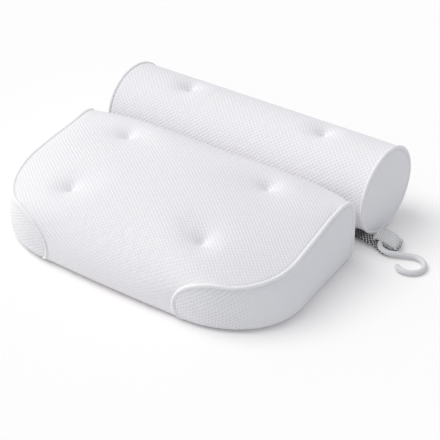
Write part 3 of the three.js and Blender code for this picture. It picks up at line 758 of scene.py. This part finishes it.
MESH_WANDER = 0.0007  # how far the rows of holes stray
HOLE_FADE_IN, HOLE_FADE_OUT = 0.05, 0.12  # how far a hole's shade fades on either side of its rim, in cells
WALL_FOOT, WALL_TOP = 0.4, 0.46  # where a wall starts, in hole radii, and where it is highest, in cells
YARN_HEIGHT = 0.25  # height of the yarn on a wall of height 1


def open_mesh_group():
    """Air mesh: staggered rows of small holes between rounded yarn walls."""
    tree, n, given, out = new_group(
        "Open mesh",
        [
            ("Cloth", "NodeSocketVector", None),
            ("Cell", "NodeSocketFloat", 0.004),
            ("Hole", "NodeSocketFloat", 0.2),
            ("Along", "NodeSocketVector", (1.0, 0.0, 0.0)),
            ("Across", "NodeSocketVector", (0.0, 1.0, 0.0)),
        ],
        [("Hole", "NodeSocketFloat"), ("Height", "NodeSocketFloat")],
    )
    wander = n.noise(given["Cloth"], 90.0, 1.0, "2D")["Color"]
    shift = n.scaled(n.vector("SUBTRACT", wander, (0.5, 0.5, 0.5)), MESH_WANDER)
    cell = n.add("ShaderNodeCombineXYZ", None, X=given["Cell"], Y=given["Cell"], Z=1.0).outputs[0]
    cells = n.vector("DIVIDE", n.vector("ADD", given["Cloth"], shift), cell)
    cells = n.vector("ADD", cells, (500.0, 500.0, 0.0))  # so that none is negative
    away = []
    for offset in (0.0, 0.5):
        wrapped = n.vector("FRACTION", n.vector("ADD", cells, (offset, offset, 0.0)))
        off = n.vector("SUBTRACT", wrapped, (0.5, 0.5, 0.0))
        along, across = (n.vector("DOT_PRODUCT", off, given[way]) for way in ("Along", "Across"))
        away.append(n.vector("LENGTH", n.add("ShaderNodeCombineXYZ", None, X=along, Y=across).outputs[0]))
    nearest = n.math("MINIMUM", *away)
    inner = n.math("SUBTRACT", given["Hole"], HOLE_FADE_IN)
    outer = n.math("ADD", given["Hole"], HOLE_FADE_OUT)
    n.put(out["Hole"], n.smooth(nearest, inner, outer, 1.0, 0.0))
    wall = n.smooth(nearest, n.math("MULTIPLY", given["Hole"], WALL_FOOT), WALL_TOP, 0.0, 1.0)
    yarn = n.noise(given["Cloth"], 1500.0, 2.0, "2D")["Fac"]
    n.put(out["Height"], n.math("ADD", wall, n.math("MULTIPLY", yarn, YARN_HEIGHT)))
    return tree


def soft_tone_group():
    """Slow and fine changes of tone, for cloth and mouldings that are not quite even."""
    tree, n, given, out = new_group(
        "Soft tone",
        [
            ("Colour", "NodeSocketColor", None),
            ("Amount", "NodeSocketFloat", 0.05),
            ("Roughness", "NodeSocketFloat", 0.8),
        ],
        [("Colour", "NodeSocketColor"), ("Roughness", "NodeSocketFloat")],
    )
    place = n.place()
    slow = n.math("MULTIPLY", n.noise(place, 14.0, 3.0)["Fac"], 0.6)
    fine = n.math("MULTIPLY", n.noise(place, 420.0, 2.0)["Fac"], 0.4)
    swing = n.math("SUBTRACT", n.math("ADD", slow, fine), 0.5)
    gain = n.math("ADD", 1.0, n.math("MULTIPLY", swing, n.math("MULTIPLY", given["Amount"], 2.0)))
    n.put(out["Colour"], n.scaled(given["Colour"], gain))
    n.put(out["Roughness"], n.math("ADD", given["Roughness"], n.math("MULTIPLY", swing, 0.2)))
    return tree


GROUPS = {"Open mesh": open_mesh_group, "Soft tone": soft_tone_group}


def placed(nodes, name, **inputs):
    tree = bpy.data.node_groups.get(name) or GROUPS[name]()
    return nodes.add("ShaderNodeGroup", {"node_tree": tree}, **inputs).outputs


def new_material(name):
    material = bpy.data.materials.new(name)
    material.use_nodes = True
    nodes = Nodes(material.node_tree)
    shader = material.node_tree.nodes["Principled BSDF"]
    return material, nodes, shader


def rgba(rgb):
    return (*rgb, 1.0)


def bumped(n, shader, height, strength, distance):
    bump = n.add("ShaderNodeBump", None, Strength=strength, Distance=distance, Height=height)
    n.put(shader.inputs["Normal"], bump.outputs[0])


def toned(name, colour, amount, roughness, specular=0.5):
    """A new material whose colour and roughness are not quite even, and that colour."""
    material, n, shader = new_material(name)
    tone = placed(n, "Soft tone", Colour=rgba(colour), Amount=amount, Roughness=roughness)
    n.put(shader.inputs["Base Color"], tone["Colour"])
    n.put(shader.inputs["Roughness"], tone["Roughness"])
    shader.inputs["Specular IOR Level"].default_value = specular
    return material, n, shader, tone["Colour"]


TIP_ALONG = (0.09, 0.125)  # part of a gusset's length in which its mesh opens towards the tip
TAPE_NET, TAPE_KNIT = 0.0042, 0.0023  # cells of the tape's open net and of its closer knit
TAPE_CLOSES = (0.030, 0.038)  # part of the tape's length in which the net closes up
TAPE_PAINTED_SHADE = (0.010, 0.017)  # part of the sewn end in which it comes out from under the roll and its painted shade fades out


def mesh_finish(name, colour, cell, shade, plain=1.0, **hole_shape):
    """White air mesh, laid by the cloth's own UV, with painted shade in its holes; a plainer one opens only where
    it goes round a tip.
    """
    material, n, shader, tone = toned(name, colour, 0.02, 0.88, 0.2)
    cloth = n.add("ShaderNodeUVMap").outputs[0]
    mesh = placed(n, "Open mesh", Cloth=cloth, Cell=cell, Hole=0.2, **hole_shape)
    hole, height = mesh["Hole"], mesh["Height"]
    if plain < 1:
        along = n.add("ShaderNodeSeparateXYZ", None, Vector=cloth).outputs["X"]
        shown = n.smooth(along, *TIP_ALONG, plain, 1.0)
        hole, height = n.math("MULTIPLY", hole, shown), n.math("MULTIPLY", height, shown)
    # painted shade: the holes take the tone darkened by the given share
    n.put(shader.inputs["Base Color"], n.blend(hole, tone, n.scaled(tone, shade)))
    shader.inputs["Sheen Weight"].default_value = 0.15
    shader.inputs["Sheen Roughness"].default_value = 0.5
    bumped(n, shader, height, 1.0, 0.0003)
    return material


def yarn_finish(name, colour, scale, depth):
    """Close cloth or thread: a fine twill over a soft tone."""
    material, n, shader, _ = toned(name, colour, 0.04, 0.8, 0.25)
    twill = n.add(
        "ShaderNodeTexWave", {"bands_direction": "DIAGONAL"}, Vector=n.place(), Scale=scale, Distortion=1.0
    )
    bumped(n, shader, twill.outputs["Fac"], 0.6, depth)
    return material


def foam_finish(colour):
    """Open-cell foam."""
    material, n, shader, _ = toned("foam", colour, 0.06, 0.95)
    cells = n.add("ShaderNodeTexVoronoi", None, Vector=n.place(), Scale=700.0)
    bumped(n, shader, cells.outputs["Distance"], 0.5, 0.0006)
    return material


def plastic_finish(colour):
    """Satin moulded plastic with a faint flow grain."""
    material, n, shader, _ = toned("hook_plastic", colour, 0.05, 0.34)
    bumped(n, shader, n.noise(n.place(), 900.0, 2.0)["Fac"], 0.08, 0.0003)
    return material


def vinyl_finish(colour):
    """Clear soft vinyl with faint moulding ripples."""
    material, n, shader = new_material("clear_vinyl")
    ripple = n.noise(n.place(), 60.0, 2.0)["Fac"]
    shader.inputs["Base Color"].default_value = rgba(colour)
    n.put(shader.inputs["Roughness"], n.smooth(ripple, 0.3, 0.7, 0.06, 0.16))
    shader.inputs["Transmission Weight"].default_value = 0.75
    shader.inputs["IOR"].default_value = 1.5
    bumped(n, shader, ripple, 0.2, 0.0005)
    return material


def tape_finish(name, thread, gap, start=None):
    """Woven tape: an open net over gaps painted dark as shade, which closes up along the tape and can start in
    painted shade.
    """
    material, n, shader, yarn = toned(name, thread, 0.1, 0.75, 0.3)
    along, across = (
        n.add("ShaderNodeAttribute", {"attribute_name": way}).outputs["Fac"] for way in ("along", "across")
    )
    cloth = n.add("ShaderNodeCombineXYZ", None, X=along, Y=across).outputs[0]
    net = placed(n, "Open mesh", Cloth=cloth, Cell=TAPE_NET, Hole=0.28)
    knit = placed(n, "Open mesh", Cloth=cloth, Cell=TAPE_KNIT, Hole=0.2)
    still_open = n.smooth(along, *TAPE_CLOSES, 1.0, 0.0)
    # painted shade: the start colour darkens the tape where it lies in the roll's shadow
    if start:
        yarn = n.blend(n.smooth(along, *TAPE_PAINTED_SHADE, 0.0, 1.0), rgba(start), yarn)
    holes = n.math("MULTIPLY", net["Hole"], still_open)
    holes = n.math("MAXIMUM", holes, n.math("MULTIPLY", knit["Hole"], 0.42))
    # the net's and the knit's gaps take the painted shade
    n.put(shader.inputs["Base Color"], n.blend(holes, yarn, rgba(gap)))
    height = n.math("ADD", n.math("MULTIPLY", net["Height"], still_open), knit["Height"])
    bumped(n, shader, height, 0.8, 0.0004)
    return material


def finish(name):
    """The material of that name, made when it is first asked for."""
    if name in bpy.data.materials:
        return bpy.data.materials[name]
    settings = bpy.context.scene.pillow
    c, cloth = settings.colours, settings.cloth
    slanted = {"Along": (0.5, 0.5, 0), "Across": (0.707, -0.707, 0)}
    makers = {
        "pad_mesh": lambda: mesh_finish(name, c.mesh, cloth.cell, shade=0.905, **slanted),
        "roll_mesh": lambda: mesh_finish(name, c.mesh, cloth.cell, shade=0.88),
        # the gussets, the round ends and the hinge take the gusset colour, with its painted shade
        "gusset_mesh": lambda: mesh_finish(
            name, c.gusset, cloth.side_cell, shade=0.85, plain=0.2, Along=(cloth.side_stretch, 0, 0)
        ),
        "piping_cloth": lambda: yarn_finish(name, c.piping, scale=900.0, depth=0.0002),
        "hinge_cloth": lambda: yarn_finish(name, c.gusset, scale=700.0, depth=0.0003),
        "thread": lambda: yarn_finish(name, c.thread, scale=1500.0, depth=0.0002),
        "foam": lambda: foam_finish(c.foam),
        "clear_vinyl": lambda: vinyl_finish(c.vinyl),
        "net_tape": lambda: tape_finish(name, c.tape, c.tape_gap_shade),
        "painted_shade_tape": lambda: tape_finish(name, c.tape, c.tape_gap_shade, c.tape_painted_shade),
        "hook_plastic": lambda: plastic_finish(c.plastic),
    }
    return makers[name]()


# Pieces


BACK_HOLLOW = {"pad": (0.008, 0.032), "roll": (0.007, 0.030)}  # depth and reach of the hollow over a cup
PIPING_SIDES = 12
PIPING_SINK = 0.2  # share of its radius by which a piping lies below the seam
PIPING_END = 1.25  # height in radii at which an open piping ends
RUN_OUT, THINNEST = 0.012, 0.3  # height over which an open piping thins, and its share at the floor


def tuft_points(owner):
    return [middle_of(f"{tufted}_stitch_{name}") for tufted, name in TUFTS if tufted == owner]


def pillow_space(points):
    return [p - ORIGIN for p in points]


def drawn_out(line, xs):
    """A grid: a line of depths and heights, repeated across the given places."""
    return np.stack(np.broadcast_arrays(xs[None, :], line[:, None, 0], line[:, None, 1]), axis=-1)


def pipe(skin, side, others, radius, owner, name):
    """Piping along a seam of a sewn skin, thinner where an open seam runs out at the floor."""
    line, closed = seam_of(skin, side, others, PIPING_SINK * radius)
    section = circle(radius, PIPING_SIDES)
    bm = bmesh.new()
    if closed:
        sweep(bm, frames_along(line, closed=True), section, closed=True)
    else:
        line = evenly(np.array([p for p in line if p.z > PIPING_END * radius]), len(line))
        sizes = np.clip(THINNEST + line[:, 2] / RUN_OUT, 0, 1)
        sweep(bm, frames_along(line), section, [(s, s) for s in sizes])
    welt = object_of(bm, f"{owner}_welt_{name}")
    finish_piece(welt, owner, "piping_cloth", f"{owner}_piping_{name}")


def dress(owner, skin, tufts, crest, covers, sides, pieces, unsewn=None):
    """Fills a sewn skin and makes its foam, its covers and the piping between its covers and sides."""
    cloth = bpy.context.scene.pillow.cloth
    skin = refined(filled(skin, held_points(skin, tufts, unsewn), cloth))
    sink_tufts(skin, tufts, crest, cloth)
    mark_piped(skin, [(cover, side) for cover in covers for side, _ in sides])
    foam = foam_of(skin, cloth.foam_gap, tufts, f"{owner}_foam")
    finish_piece(foam, owner, "foam", f"{owner}_core")
    for panels, name, material, slot, node in pieces:
        dip = cloth.side_dip if slot == "gusset" else cloth.seam_dip
        cover = thickened(object_of(panel_of(skin, panels, dip), name), cloth.cover)
        finish_piece(cover, owner, material, node)
    for side, name in sides:
        pipe(skin, side, covers, cloth.piping, owner, name)
    skin.free()


class PILLOW_OT_pad(bpy.types.Operator):
    """Make the pad's covers, gussets, piping and foam, sewn together and filled"""

    bl_idname = "pillow.pad"
    bl_label = "Pad"

    def execute(self, context):
        settings = context.scene.pillow
        cloth = settings.cloth
        pattern = PadPattern(settings.pad)
        tufts = tuft_points("pad")
        near = pillow_space(tufts)
        band, back = pattern.band.copy(), pattern.back.copy()
        upper = band[FACE_STEPS:]
        upper[..., 2] -= hollow(upper, near, cloth.tuft_depth, cloth.tuft_reach, sharp=True)
        back[..., 2] += hollow(back, near, *BACK_HOLLOW["pad"], sharp=False)
        band_cloth = cloth_of_rows(pattern.band) * (1, cloth.stretch)
        gusset_cloth = np.stack([steps_along(pattern.gusset, 0, 0, 1), -pattern.gusset[..., 2]], axis=-1)
        gusset_cloth /= (cloth.side_stretch, 1)

        skin = bmesh.new()
        lay_grid(skin, band[: FACE_STEPS + 1], band_cloth[: FACE_STEPS + 1], REAR)
        lay_grid(skin, upper, band_cloth[FACE_STEPS:], TOP)
        lay_grid(skin, back, back[..., :2], BACK)
        lay_grid(skin, pattern.gusset, gusset_cloth, RIGHT)
        lay_grid(skin, pattern.gusset * (-1, 1, 1), gusset_cloth, LEFT)
        weld(skin)
        pieces = (
            ((TOP,), "pad_top", "pad_mesh", "mesh", "pad_top_cover"),
            ((BACK, REAR), "pad_back", "pad_mesh", "mesh", "pad_back_cover"),
            ((RIGHT,), "pad_side_right", "gusset_mesh", "gusset", "pad_gusset_right"),
            ((LEFT,), "pad_side_left", "gusset_mesh", "gusset", "pad_gusset_left"),
        )
        covers, sides = (TOP, REAR), ((RIGHT, "right"), (LEFT, "left"))
        crest = settings.pad.gusset_front
        dress("pad", skin, tufts, crest, covers, sides, pieces, unsewn={TOP, REAR})
        return {"FINISHED"}


class PILLOW_OT_roll(bpy.types.Operator):
    """Make the roll's wrap, round ends, piping and foam, sewn together and filled"""

    bl_idname = "pillow.roll"
    bl_label = "Roll"

    TURNS = np.linspace(-math.pi / 2, 1.5 * math.pi, 85)
    COLUMNS, END_RINGS = 91, 13

    def execute(self, context):
        settings = context.scene.pillow
        tufts = tuft_points("roll")
        skin = bmesh.new()
        self.lay_wrap(skin, settings, pillow_space(tufts))
        for side, panel in ((1, END_RIGHT), (-1, END_LEFT)):
            self.lay_end(skin, settings, side, panel)
        weld(skin)
        pieces = (
            ((WRAP,), "roll_cover", "roll_mesh", "mesh", "roll_wrap"),
            ((END_RIGHT,), "roll_side_right", "gusset_mesh", "gusset", "roll_end_right"),
            ((END_LEFT,), "roll_side_left", "gusset_mesh", "gusset", "roll_end_left"),
        )
        sides = ((END_RIGHT, "right"), (END_LEFT, "left"))
        crest = settings.roll.half_height
        dress("roll", skin, tufts, crest, (WRAP,), sides, pieces)
        return {"FINISHED"}

    def lay_wrap(self, skin, settings, tufts):
        """The cloth round the roll, drawn in at its tufts."""
        roll, cloth = settings.roll, settings.cloth
        xs = np.linspace(-roll.half_length, roll.half_length, self.COLUMNS)
        points = drawn_out(self.ring(settings), xs)
        upper = np.sin(self.TURNS)[:, None] > 0
        drawn_in = hollow(points, tufts, cloth.tuft_depth, cloth.tuft_reach, sharp=True)
        pressed_up = hollow(points, tufts, *BACK_HOLLOW["roll"], sharp=False)
        points[..., 2] += np.where(upper, -drawn_in, pressed_up)
        round_it = np.broadcast_to(self.TURNS[:, None] * roll.half_depth, points.shape[:2])
        lay_grid(skin, points, np.stack([points[..., 0], round_it], axis=-1), WRAP)

    def lay_end(self, skin, settings, side, panel):
        """A round end, slightly swollen."""
        roll = settings.roll
        rows = []
        for size in np.linspace(1, 0, self.END_RINGS):
            x = side * (roll.half_length + roll.cap_bulge * (1 - size**2))
            rows.append(np.column_stack([np.full(len(self.TURNS), x), self.ring(settings, size)]))
        points = np.array(rows)
        lay_grid(skin, points, points[..., 1:] / (settings.cloth.side_stretch, 1), panel)

    def ring(self, settings, size=1.0):
        """The roll's section as distances behind the hinge line and heights."""
        roll, underside = settings.roll, settings.pad.underside
        axis_height = underside - roll.flat + roll.half_height
        y = roll.to_hinge + roll.half_depth * (1 + size * np.cos(self.TURNS))
        z = axis_height + size * roll.half_height * np.sin(self.TURNS)
        return np.column_stack([y, np.maximum(underside, z)])


class PILLOW_OT_stitches(bpy.types.Operator):
    """Make the stitches that draw the tufts in"""

    bl_idname = "pillow.stitches"
    bl_label = "Stitches"

    THREAD, SIDES = 0.0008, 8
    SUNK = 0.0078  # how far the tuft draws the thread in below the top of its solid
    CROSS_THREAD, CROSS_REACH, CROSS_RISE = 0.0006, 0.0028, 0.0012  # the two crossed stitches on top
    CROSS_TURN = 0.4  # how far they are turned, in radians

    def execute(self, context):
        for owner, name in TUFTS:
            low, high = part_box(f"{owner}_stitch_{name}")
            middle = (low + high) / 2
            top = Vector((middle.x, middle.y, high.z - self.SUNK))
            bm = bmesh.new()
            stem = [(middle.x, middle.y, z) for z in np.linspace(low.z, top.z, 12)]
            rounded_rod(bm, stem, self.THREAD, self.SIDES)
            for turn in (self.CROSS_TURN, self.CROSS_TURN + math.pi / 2):
                reach = Vector((math.cos(turn), math.sin(turn), 0)) * self.CROSS_REACH
                arc = [
                    top + reach * share + Vector((0, 0, self.CROSS_RISE * (1 - share**2)))
                    for share in np.linspace(-1, 1, 9)
                ]
                rounded_rod(bm, arc, self.CROSS_THREAD, self.SIDES)
            piece = object_of(bm, f"{owner}_thread_{name}")
            finish_piece(piece, owner, "thread", f"{owner}_stitch_{name}")
        return {"FINISHED"}


class PILLOW_OT_cups(bpy.types.Operator):
    """Make the suction cups"""

    bl_idname = "pillow.cups"
    bl_label = "Suction cups"

    def execute(self, context):
        for owner, name in TUFTS:
            node = f"{owner}_cup_{name}"
            low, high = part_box(node)
            centre = Vector(((low.x + high.x) / 2, (low.y + high.y) / 2, 0.0))
            bm = bmesh.new()
            turned(bm, self.profile((high.x - low.x) / 2, high.z), centre, 48)
            finish_piece(object_of(bm, f"{owner}_sucker_{name}"), owner, "clear_vinyl", node)
        return {"FINISHED"}

    def profile(self, radius, top):
        """Radii and heights: out under the dome, round the rim, back over the bell and up to the head."""
        dome = [(0.0004, 0.0026), (0.35 * radius, 0.0023), (0.7 * radius, 0.0012), (radius - 0.003, 0.0001)]
        rim = [(radius - 0.0006, 0.0002), (radius, 0.0006), (radius - 0.001, 0.0013)]
        bell = [(radius - 0.002, 0.0016), (0.7 * radius, 0.0034), (0.42 * radius, 0.0066), (0.0052, 0.0088)]
        stem = [(0.005, 0.0094), (0.005, top - 0.0042)]
        head = [(0.0074, top - 0.0038), (0.008, top - 0.0028), (0.0078, top - 0.0014)]
        lid = [(0.0068, top - 0.0004), (0.005, top), (0.0, top)]
        dome, bell = (evenly(spline(part), 14) for part in (dome, bell))
        return np.vstack([[(0.0, 0.0026)], dome[1:], rim, bell, stem, head, lid])


class PILLOW_OT_hinge(bpy.types.Operator):
    """Make the cloth that joins the roll to the pad"""

    bl_idname = "pillow.hinge"
    bl_label = "Cloth hinge"

    THICKNESS = 0.0016
    SHIFT = 0.004  # how far the cloth lies in front of its solid

    def execute(self, context):
        low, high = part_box("hinge_web")
        route = [
            (low.y - self.SHIFT, HINGE.z + 0.0006),
            (HINGE.y, HINGE.z),
            (mix(low.y, high.y, 0.5), HINGE.z - 0.0004),
            (high.y - self.SHIFT, HINGE.z - 0.0012),
        ]
        line = evenly(spline(route), 30)
        points = drawn_out(line, np.linspace(low.x, high.x, 120)) - np.array(ORIGIN)
        bm = bmesh.new()
        lay_grid(bm, points, points[..., :2], 0)
        bmesh.ops.recalc_face_normals(bm, faces=bm.faces)
        web = thickened(object_of(bm, "hinge_cloth"), self.THICKNESS)
        finish_piece(web, None, "hinge_cloth", "hinge_web")
        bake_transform(web, "pad", "roll", start=HINGE - Vector((0, 0.003, 0)), end=HINGE + Vector((0, 0.003, 0)))
        return {"FINISHED"}


class PILLOW_OT_strap(bpy.types.Operator):
    """Make the tape that holds the hook"""

    bl_idname = "pillow.strap"
    bl_label = "Strap"

    THICKNESS = 0.0019
    LAYER = 0.00115  # from the middle of the sewn end to either of its two layers
    SHIFT, SLANT = 0.0014, 0.16  # how far behind its solid the sewn end lies, and its slant
    PLUMP_FROM, PLUMP_RUN = 0.44, 0.6  # shares of the loop in which the tape bunches up
    THICKER, WIDER, TILT = 2.2, 0.06, 0.45  # how much it does
    TILTED = ((0.46, 0.62, 0.9, 1), (0, 1, 1, 0))  # shares of the loop, and of the tilt there
    # Share of the way round the loop, and the tape's sideways drift there in millimetres
    DRIFT = (
        (0, 0), (0.1, -0.8), (0.22, -4), (0.3, -5.3), (0.36, -3.5), (0.42, 0.5), (0.48, 3),
        (0.55, 4.4), (0.64, 5), (0.76, 5.8), (0.89, 6.6), (0.95, 6.6), (1, 5.5),
    )

    def execute(self, context):
        low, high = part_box("strap_tail")
        width, height = high.y - low.y, high.z - low.z
        sewn = (low.y + high.y) / 2 + self.SHIFT
        bm = bmesh.new()
        for z in (low.z + 0.25 * height, high.z - 0.25 * height):
            path = [(x, sewn + self.SLANT * (high.x - x), z) for x in np.linspace(low.x, high.x, 24)]
            sweep(bm, frames_along(path), self.section(width))
        # the sewn end's finish has the roll's shadow painted on it
        finish_piece(object_of(bm, "strap_sewn_end"), "roll", "painted_shade_tape", "strap_tail")

        low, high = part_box("strap_loop")
        bm = bmesh.new()
        frames = frames_along(self.loop(low, high))
        shares = np.clip((np.linspace(0, 1, len(frames)) - self.PLUMP_FROM) / self.PLUMP_RUN, 0, 1)
        plump = np.sin(math.pi * shares) ** 0.45
        sweep(bm, frames, self.section(width), [(1 + self.THICKER * p, 1 + self.WIDER * p) for p in plump])
        drift = spline(self.DRIFT)
        along = bm.verts.layers.float["along"]
        whole = max(v[along] for v in bm.verts)
        for v in bm.verts:
            share = v[along] / whole
            v.co.z += self.TILT * v.co.y * np.interp(share, *self.TILTED)
            v.co.y += sewn + np.interp(share, drift[:, 0], drift[:, 1] / 1000)
        finish_piece(object_of(bm, "strap_eye"), "strap", "net_tape", "strap_loop")
        return {"FINISHED"}

    def section(self, width):
        """Across the tape: flat with rounded edges."""
        section = []
        for turn in np.linspace(0, 2 * math.pi, 28, endpoint=False):
            out = math.copysign(abs(math.sin(turn)) ** 0.5, math.sin(turn))
            section.append((self.THICKNESS / 2 * out, width / 2 * math.cos(turn)))
        return section

    def loop(self, low, high):
        """The tape's middle: out along the floor, back over the hook in a plump arch."""
        start, end, top = low.x, high.x, high.z
        tail_low, tail_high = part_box("strap_tail")
        middle, long = (tail_low.z + tail_high.z) / 2, end - start
        route = [
            (start, middle - self.LAYER),
            (start + 0.07 * long, middle - self.LAYER),
            (start + 0.28 * long, 0.0016),
            (start + 0.5 * long, 0.0013),
            (end - 0.25 * long, 0.0013),
            (end - 0.03 * long, 0.24 * top),
            (end - 0.05 * long, 0.46 * top),
            (end - 0.2 * long, 0.63 * top),
            (start + 0.6 * long, 0.71 * top),
            (start + 0.36 * long, 0.74 * top),
            (start + 0.15 * long, 0.72 * top),
            (start + 0.05 * long, 0.6 * top),
            (start, middle + self.LAYER),
        ]
        return [(x, 0.0, z) for x, z in evenly(spline(route), 120)]


class PILLOW_OT_hook(bpy.types.Operator):
    """Make the S-hook"""

    bl_idname = "pillow.hook"
    bl_label = "Hook"

    ROD, CURL_RADIUS, BEND_RADIUS = 0.003, 0.014, 0.0155
    BEND_TO_CURL = (-0.032, 0.018)
    CURL_ARC, BEND_ARC = math.radians(215), math.radians(242)
    RESTING, CURL_LIFT = 0.00315, 0.0026  # the rod's height at the bend, and the curl's above that

    def execute(self, context):
        low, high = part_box("hook")
        to_bend = self.ROD + self.BEND_RADIUS
        bend = np.array([high.x - to_bend, low.y + to_bend])
        between = np.array(self.BEND_TO_CURL)
        curl = bend + between
        lean = math.acos((self.CURL_RADIUS + self.BEND_RADIUS) / np.linalg.norm(between))
        leaves = math.atan2(between[1], between[0]) - lean  # where the straight part leaves the bend
        curl_turns = np.linspace(leaves - math.pi - self.CURL_ARC, leaves - math.pi, 60)
        bend_turns = np.linspace(leaves, leaves - self.BEND_ARC, 70)
        rounds = ((curl, self.CURL_RADIUS, curl_turns), (bend, self.BEND_RADIUS, bend_turns))
        arcs = [
            centre + radius * np.column_stack([np.cos(turns), np.sin(turns)])
            for centre, radius, turns in rounds
        ]
        line = evenly(np.vstack(arcs), 160)
        far, near = bend[0] + self.BEND_RADIUS, curl[0] - self.CURL_RADIUS
        lift = (far - line[:, 0]) * self.CURL_LIFT / (far - near)
        bm = bmesh.new()
        rounded_rod(bm, np.column_stack([line, self.RESTING + lift]), self.ROD, 20)
        finish_piece(object_of(bm, "s_hook"), "hook", "hook_plastic", "hook")
        return {"FINISHED"}


class PILLOW_OT_stage(bpy.types.Operator):
    """Make the floor, the soft light and the camera"""

    bl_idname = "pillow.stage"
    bl_label = "Stage"

    FLOOR_HALF, FLOOR_DROP = 20.0, 0.0004
    FLOOR_BOUNCE = 0.87  # share of its colour that the floor throws back on the pillow
    LAMP_COLOUR, SKY_COLOUR, SKY_LEVEL = (1.0, 0.985, 0.948), (0.94, 0.965, 1.0), 0.585
    LENS, SENSOR = 114.5, 36.0  # in millimetres
    EYE, TARGET = Vector((0.7557, -1.0705, 0.8730)), Vector((-0.0032, -0.0051, 0.0190))

    def execute(self, context):
        scene = context.scene
        scene.view_settings.view_transform = "Standard"
        bm = bmesh.new()
        bmesh.ops.create_grid(bm, x_segments=1, y_segments=1, size=self.FLOOR_HALF)
        bmesh.ops.translate(bm, verts=bm.verts, vec=(0, 0, -self.FLOOR_DROP))
        floor = object_of(bm, "floor", smooth=False)
        floor.data.materials.append(self.floor_finish(scene.pillow.colours.floor))
        self.lamp("key", (-0.86, -0.38, 1.75), level=0.42, softness=45, shadow=True)
        self.lamp("fill", (-1.85, -0.6, 0.5), level=0.29, softness=60, shadow=False)
        world = bpy.data.worlds.new("studio")
        world.use_nodes = True
        sky = world.node_tree.nodes["Background"].inputs
        sky["Color"].default_value = rgba(self.SKY_COLOUR)
        sky["Strength"].default_value = self.SKY_LEVEL
        scene.world = world
        camera = bpy.data.objects.new("camera", bpy.data.cameras.new("camera"))
        camera.data.lens = self.LENS
        camera.data.sensor_width = self.SENSOR
        camera.location = self.EYE
        camera.rotation_euler = (self.TARGET - self.EYE).to_track_quat("-Z", "Y").to_euler()
        scene.collection.objects.link(camera)
        scene.camera = camera
        return {"FINISHED"}

    def lamp(self, name, place, level, softness, shadow):
        """A soft lamp: at level 1 it alone would show a white card that faces it as white."""
        lamp = bpy.data.lights.new(name, "SUN")
        lamp.energy = level * math.pi
        lamp.angle = math.radians(softness)
        lamp.use_shadow = shadow
        lamp.color = self.LAMP_COLOUR
        obj = bpy.data.objects.new(name, lamp)
        obj.location = place
        obj.rotation_euler = (-Vector(place)).to_track_quat("-Z", "Y").to_euler()
        bpy.context.scene.collection.objects.link(obj)

    def floor_finish(self, colour):
        """Matt white that looks lighter to the camera than the light that it throws back."""
        material, n, shader = new_material("studio_floor")
        shader.inputs["Roughness"].default_value = 1.0
        shader.inputs["Specular IOR Level"].default_value = 0.0
        path = n.add("ShaderNodeLightPath").outputs
        clear = n.math("MAXIMUM", path["Is Glossy Ray"], path["Is Transmission Ray"])
        seen = n.math("MAXIMUM", path["Is Camera Ray"], clear)
        bounce = rgba(c * self.FLOOR_BOUNCE for c in colour)
        n.put(shader.inputs["Base Color"], n.blend(seen, bounce, rgba(colour)))
        return material


class PILLOW_PT_panel(bpy.types.Panel):
    """Lists the pillow's pieces"""

    bl_idname = "PILLOW_PT_panel"
    bl_label = "Bath Pillow"
    bl_space_type = "VIEW_3D"
    bl_region_type = "UI"
    bl_category = "Pillow"

    def draw(self, context):
        for operator in OPERATORS:
            self.layout.operator(operator.bl_idname)


OPERATORS = (
    PILLOW_OT_stage,
    PILLOW_OT_pad,
    PILLOW_OT_roll,
    PILLOW_OT_stitches,
    PILLOW_OT_cups,
    PILLOW_OT_hinge,
    PILLOW_OT_strap,
    PILLOW_OT_hook,
)
GROUPS_OF_SETTINGS = (PadSizes, RollSizes, ClothSizes, PillowColours, PillowSettings)
CLASSES = (*GROUPS_OF_SETTINGS, *OPERATORS, PILLOW_PT_panel)


def register():
    for made in CLASSES:
        bpy.utils.register_class(made)
    bpy.types.Scene.pillow = PointerProperty(type=PillowSettings)


def unregister():
    del bpy.types.Scene.pillow
    for made in reversed(CLASSES):
        bpy.utils.unregister_class(made)


def main():
    register()
    bpy.ops.pillow.stage()
    bpy.ops.pillow.pad()
    bpy.ops.pillow.roll()
    bpy.ops.pillow.stitches()
    bpy.ops.pillow.cups()
    bpy.ops.pillow.hinge()
    bpy.ops.pillow.strap()
    bpy.ops.pillow.hook()


if __name__ == "__main__":
    main()
